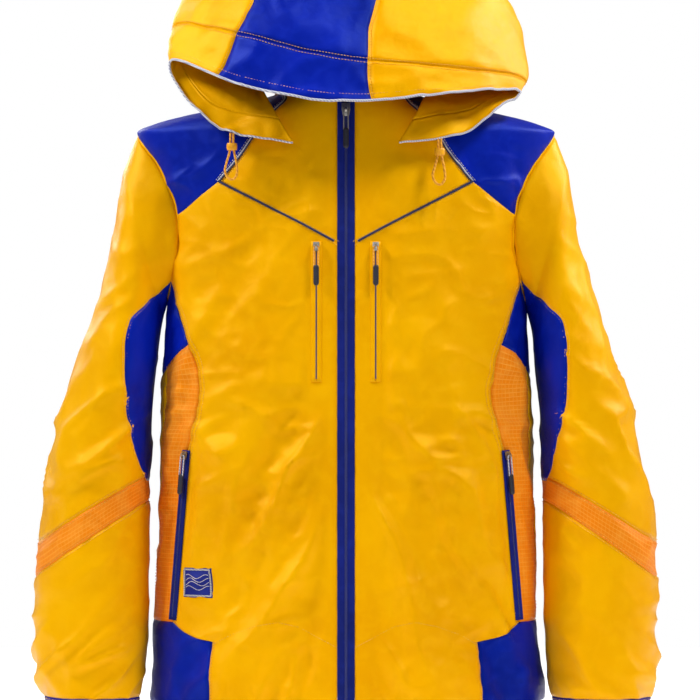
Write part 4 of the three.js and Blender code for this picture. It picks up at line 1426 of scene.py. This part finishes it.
def in_zip(spec, points, up=0.0, out=0.0):
    """Points given across, into and up, moved to their place on a zip."""
    origin = spec["low"] + spec["frame"][:, 2] * up + np.asarray(spec["out"]) * out
    return np.asarray(points, float) @ spec["frame"].T + origin


# %% [markdown]
# The main zip is blue ribbed tape with a raised line woven along each edge. A chest zip hides
# under two yellow lips that almost meet over it, with a stitched box round them, and a hand zip
# shows its blue tape and coil.

# %% Zip tapes
def strip_piece(name, spec, profile, finish, inside=None, thick=1.0, top=0.0):
    """A ribbon along a zip. profile is a list of (across, out) from one edge to the other."""
    profile = np.array(profile, float)
    rows = max(8, int(spec["length"] / 6))
    levels = np.linspace(0.4, spec["length"] - 0.4 - top, rows)
    grid = np.stack(np.broadcast_arrays(profile[None, :, 0], -profile[None, :, 1],
                                        levels[:, None]), 2)
    outer = in_zip(spec, grid.reshape(-1, 3), 0, spec["lift"]).reshape(grid.shape)
    inner = outer - np.asarray(spec["out"]) * thick
    return sheet_piece(name, outer, inner, finish, inside)


def woven_edges(half, body_out, ridge):
    """A flat ribbon with a low ridge near each edge."""
    side = [(-half, body_out - 0.3), (-half + 0.7, body_out), (-half + 1.6, body_out + ridge),
            (-half + 2.5, body_out), (-half + 4.0, body_out), (-1.2, body_out)]
    return side + [(-x, out) for x, out in side[::-1]]


for name, spec in zips.items():
    if name.startswith("chest"):
        lip = [(-6, 0.1), (-5, 0.5), (-2.4, 1.0), (-1.0, 1.1), (-0.45, 0.7), (-0.35, 0.0)]
        profile = lip + [(-x, out) for x, out in lip[::-1]]
        piece = strip_piece(f"{name}_lips", spec, profile, YELLOW, thick=0.8)
        slot = "shell_yellow"
    else:
        profile = woven_edges(spec["width"] / 2 - 0.1, spec["tape"] - 0.5, 0.45)
        piece = strip_piece(f"{name}_ribbon", spec, profile, TAPE, thick=0.9)
        slot = "zip_tape"
    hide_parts(f"{name}_tape")
    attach(piece, "shell")
    declare_sheet(piece)
    rows = []
    for sign in (-1, 1):
        half_pitch = spec["pitch"] / 2 * (sign > 0)
        levels = np.array([4 + half_pitch, spec["length"] - 4 + half_pitch - spec["pitch"]])
        across = sign * (0.55 if name == "main_zip" else 0.4)
        out = spec["lift"] + spec["tape"] - (0.5 if not name.startswith("chest") else 0.35)
        rows.append(in_zip(spec, [(across, 0, level_z) for level_z in levels], 0, out))
    tooth = tuple(value * MM for value in spec["teeth"])
    finish = COIL
    piece = grown(f"{name}_coil", rows, TEETH, Pitch=spec["pitch"] * MM, Tooth=tooth, Finish=finish)
    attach(piece, "shell")
    print(name, len(piece.data.polygons), "tooth faces")

# %% [markdown]
# A pull is a loop of cord through the slider's eye, moulded into a rubber grip. The loop is two
# straight strands with a bend at the top, run as a tube, and the grip is a long rounded bar
# with finger ridges, made by turning a profile and flattening it.

# %% Zip pulls
def turned_bar(profile, flatten=1.0, sides=20):
    """A solid of revolution about the up direction. profile is (radius, height) from the top."""
    profile = np.array(profile, float)
    angle = np.linspace(0, 2 * math.pi, sides, endpoint=False)
    corners = [(0, 0, profile[0, 1])]
    for radius, height in profile[1:-1]:
        corners += [(radius * math.cos(a), flatten * radius * math.sin(a), height) for a in angle]
    corners.append((0, 0, profile[-1, 1]))
    faces = []
    rows = len(profile) - 2
    for k in range(sides):
        j = (k + 1) % sides
        faces.append((0, 1 + k, 1 + j))
        for row in range(rows - 1):
            a, b = 1 + row * sides, 1 + (row + 1) * sides
            faces.append((a + k, b + k, b + j, a + j))
        last = 1 + (rows - 1) * sides
        faces.append((len(corners) - 1, last + j, last + k))
    return np.array(corners), faces


def placed_solid(name, corners, faces, finish, smooth=True):
    mesh = bpy.data.meshes.new(name)
    mesh.from_pydata((np.asarray(corners) * MM).tolist(), [], [list(face) for face in faces])
    mesh.polygons.foreach_set("use_smooth", np.full(len(mesh.polygons), smooth))
    mesh.materials.append(finish)
    mesh.update()
    piece = bpy.data.objects.new(name, mesh)
    bpy.context.scene.collection.objects.link(piece)
    return piece


GRIP = [(0, -21.5), (2.2, -21.7), (3.0, -22.6), (3.2, -24.0)]
for ridge in range(5):
    height = -26.0 - 3.0 * ridge
    GRIP += [(3.35, height), (3.0, height - 1.1), (3.35, height - 2.2)]
GRIP += [(3.3, -41.5), (2.9, -43.5), (1.9, -44.9), (0, -45.4)]
for name, spec in zips.items():
    pivot = spec["seat"] + 4.1
    strand_finish = METAL if name == "main_zip" else (LOOP if name.startswith("chest") else PALE)
    wide = 2.6
    loop = [(-wide, 0, -23.5), (-wide, 0, -15), (-wide, 0, -6), (-wide, 0, -1.6), (-wide * 0.8, 0, -0.5),
            (-wide * 0.4, 0, 0), (wide * 0.4, 0, 0), (wide * 0.8, 0, -0.5), (wide, 0, -1.6),
            (wide, 0, -6), (wide, 0, -15), (wide, 0, -23.5)]
    line = in_zip(spec, loop, spec["slider"], pivot)
    piece = grown(f"{name}_pull_loop", [line], PIPING, Radius=0.8 * MM, Sides=8, Finish=strand_finish)
    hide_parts(f"{name}_pull")
    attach(piece, f"{name}_pull")
    corners, faces = turned_bar(GRIP, 0.62)
    corners = in_zip(spec, corners, spec["slider"], pivot)
    piece = placed_solid(f"{name}_pull_grip", corners, faces, RUBBER)
    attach(piece, f"{name}_pull")
    slider = bpy.data.objects.get(f"{name}_slider")
    for place in slider.material_slots:
        place.material = METAL
print("pulls", len(zips))

# %% [markdown]
# The hood cords are curves, because a cord is a line with a thickness.
# The beads are round with a groove, and slide on both runs.


for hand, path in cord_paths.items():
    curve = bpy.data.curves.new(f"hood_cord_{hand}", "CURVE")
    curve.dimensions = "3D"
    curve.bevel_depth = CORD_THICK / 2 * MM
    curve.bevel_resolution = 3
    curve.use_fill_caps = True
    line = curve.splines.new("POLY")
    line.points.add(len(path) - 1)
    line.points.foreach_set("co", np.column_stack([path * MM, np.ones(len(path))]).ravel())
    cord_piece = bpy.data.objects.new(f"cord_run_{hand}", curve)
    bpy.context.scene.collection.objects.link(cord_piece)
    curve.materials.append(CORD)
    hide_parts(f"hood_cord_{hand}")
    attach(cord_piece, "hood")
    centre = CORD_EXIT[hand] + (0, -2.2, -16)
    ring = np.linspace(0, 2 * math.pi, 28, endpoint=False)
    across = np.linspace(0, 2 * math.pi, 14, endpoint=False)
    corners, faces = [], []
    for a in ring:
        for b in across:
            groove = 1 - 0.1 * math.exp(-((abs((b % (2 * math.pi)) - 0.0)) / 0.35) ** 2)
            radius = 4.9 + 1.25 * math.cos(b) * groove
            corners.append((radius * math.cos(a), 0.8 * radius * math.sin(a), 4.3 * math.sin(b)))
    for i in range(28):
        for j in range(14):
            k, m = (i + 1) % 28, (j + 1) % 14
            faces.append((i * 14 + j, k * 14 + j, k * 14 + m, i * 14 + m))
    bead = placed_solid(f"cord_bead_{hand}", np.array(corners) + centre, faces, BEAD)
    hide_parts(f"hood_toggle_{hand}")
    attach(bead, f"hood_toggle_{hand}")

# %% [markdown]
# Small sewn things: the hanger loop at the nape, the wind flap behind the front zip, and a
# plain woven patch on the hem. The patch carries only generic stripes, and no words.

# %% Loop, wind flap and patch
def flat_ring(wide, high, strap, count=64):
    angle = np.linspace(0, 2 * math.pi, count + 1)
    outer = np.stack([wide / 2 * np.cos(angle), 0 * angle, high / 2 * np.sin(angle)], 1)
    inner = np.stack([(wide / 2 - strap) * np.cos(angle), 0 * angle,
                      (high / 2 - strap) * np.sin(angle)], 1)
    share = np.linspace(0, 1, 5)[:, None, None]
    return outer[None] * (1 - share) + inner[None] * share


loop_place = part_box("hanger_loop")
loop_middle = [(a + b) / 2 / MM for a, b in zip(*loop_place)]
ring_grid = flat_ring(54, 16, 4)
front_face = ring_grid + (loop_middle[0], loop_middle[1] - 0.55, loop_middle[2])
piece = sheet_piece("hanger_tape", front_face, front_face + (0, 1.1, 0), LINING, ring=True)
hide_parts("hanger_loop")
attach(piece, "shell")

flap_levels = np.linspace(HEM_Z + 10, NECK_Z - 16, 120)
flap_across = np.linspace(-22, 22, 15)
flap_x, flap_z = np.meshgrid(flap_across, flap_levels)
flap_y = front_y(flap_z) + 2.2 + 0.7 + 0.1
flap = np.stack([flap_x, flap_y, flap_z], 2)
flap[:, :, 1] += 0.25 * noise(flap.reshape(-1, 3), (20, 20, 60), 51).reshape(flap_x.shape)
piece = sheet_piece("storm_flap_cloth", flap, flap + (0, 1.0, 0), BLUE)
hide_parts("storm_flap")
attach(piece, "shell")
declare_sheet(piece)

PATCH_X, PATCH_Z = (154, 187), (-577, -543)
patch_x, patch_z = np.meshgrid(np.linspace(*PATCH_X, 16), np.linspace(*PATCH_Z, 16))
patch_turn = turn_at_x(patch_x.ravel(), patch_z.ravel())
patch_cells = np.stack([patch_turn, patch_z.ravel()], 1).reshape(16, 16, 2)
piece = cloth_panel("hem_patch", BODY, patch_cells, LABEL, side=-1, thick=0.8, lift=1.0)
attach(piece, "shell")
declare_sheet(piece)
rows = []
for inset in (1.6, 2.6):
    (x0, x1), (z0, z1) = (PATCH_X[0] + inset, PATCH_X[1] - inset), (PATCH_Z[0] + inset, PATCH_Z[1] - inset)
    frame_points = [(x0, z0), (x1, z0), (x1, z1), (x0, z1), (x0, z0)]
    rows.append(frame_points)
for height, lift_up in ((-553, 0.0), (-557, 0.9), (-561, 1.6), (-566, 0.4)):
    wave = [(x, height + 2.4 * math.sin(x / 3.1 + lift_up)) for x in np.linspace(158, 183, 22)]
    rows.append(wave)
lines = []
for row in rows:
    cells = evenly(seam_points(*row), body, 1.5)
    lines.append(line_on(BODY, cells, -1, 1.15, 6.0))
piece = grown("patch_threads", lines, PIPING, Radius=0.35 * MM, Sides=5, Finish=PALE_THREAD)
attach(piece, "shell")
print("small pieces done")

# %% [markdown]
# The set: a round pale floor, a soft key light high on the left, a second and a third on the
# right, a weak one at the chest, a light behind for the edges, and a white sky that shows
# brighter than it shines.

# %% Floor, lights and sky
ring = np.linspace(0, 2 * math.pi, 96, endpoint=False)
corners = [(1.7 * math.cos(a), 1.7 * math.sin(a), -0.745) for a in ring]
mesh = bpy.data.meshes.new("studio_floor")
mesh.from_pydata(corners, [], [list(range(96))])
studio, tree, shader = new_finish("studio_pale")
shader.inputs["Base Color"].default_value = (0.9, 0.9, 0.9, 1)
shader.inputs["Roughness"].default_value = 0.85
shader.inputs["Emission Color"].default_value = (1, 1, 1, 1)
shader.inputs["Emission Strength"].default_value = 0.45
mesh.materials.append(studio)
floor = bpy.data.objects.new("studio_floor", mesh)
bpy.context.scene.collection.objects.link(floor)


def soft_light(name, place, aim, size, power, color=(1, 1, 1)):
    data = bpy.data.lights.new(name, "AREA")
    data.shape = "RECTANGLE"
    data.size, data.size_y = size
    data.energy = power
    data.color = color
    light = bpy.data.objects.new(name, data)
    bpy.context.scene.collection.objects.link(light)
    light.location = place
    light.rotation_euler = (Vector(aim) - Vector(place)).to_track_quat("-Z", "Y").to_euler()
    return light


soft_light("key", (-1.3, -0.5, 1.0), (0.05, -0.12, -0.1), (0.35, 0.35), 25)
soft_light("high", (0.9, -0.75, 1.25), (0, -0.1, 0), (0.35, 0.35), 22)
soft_light("side", (1.5, 0.3, 0.7), (0, 0, -0.2), (0.6, 0.6), 17)
soft_light("chest", (0.1, -1.7, 0.3), (0, -0.15, 0.02), (0.5, 0.5), 1.5)
soft_light("behind", (-1.4, 2.0, 0.8), (0, 0, -0.3), (1.2, 1.2), 22)
sky = bpy.data.worlds.new("studio_sky")
bpy.context.scene.world = sky
sky.use_nodes = True
tree = sky.node_tree
shine = tree.nodes["Background"]
shine.inputs[0].default_value = (1, 1, 1, 1)
ray = tree.nodes.new("ShaderNodeLightPath")
power = between_values(tree, ray.outputs["Is Camera Ray"], 0.0, 1.0, 0.15, 1.0)
tree.links.new(power, shine.inputs[1])
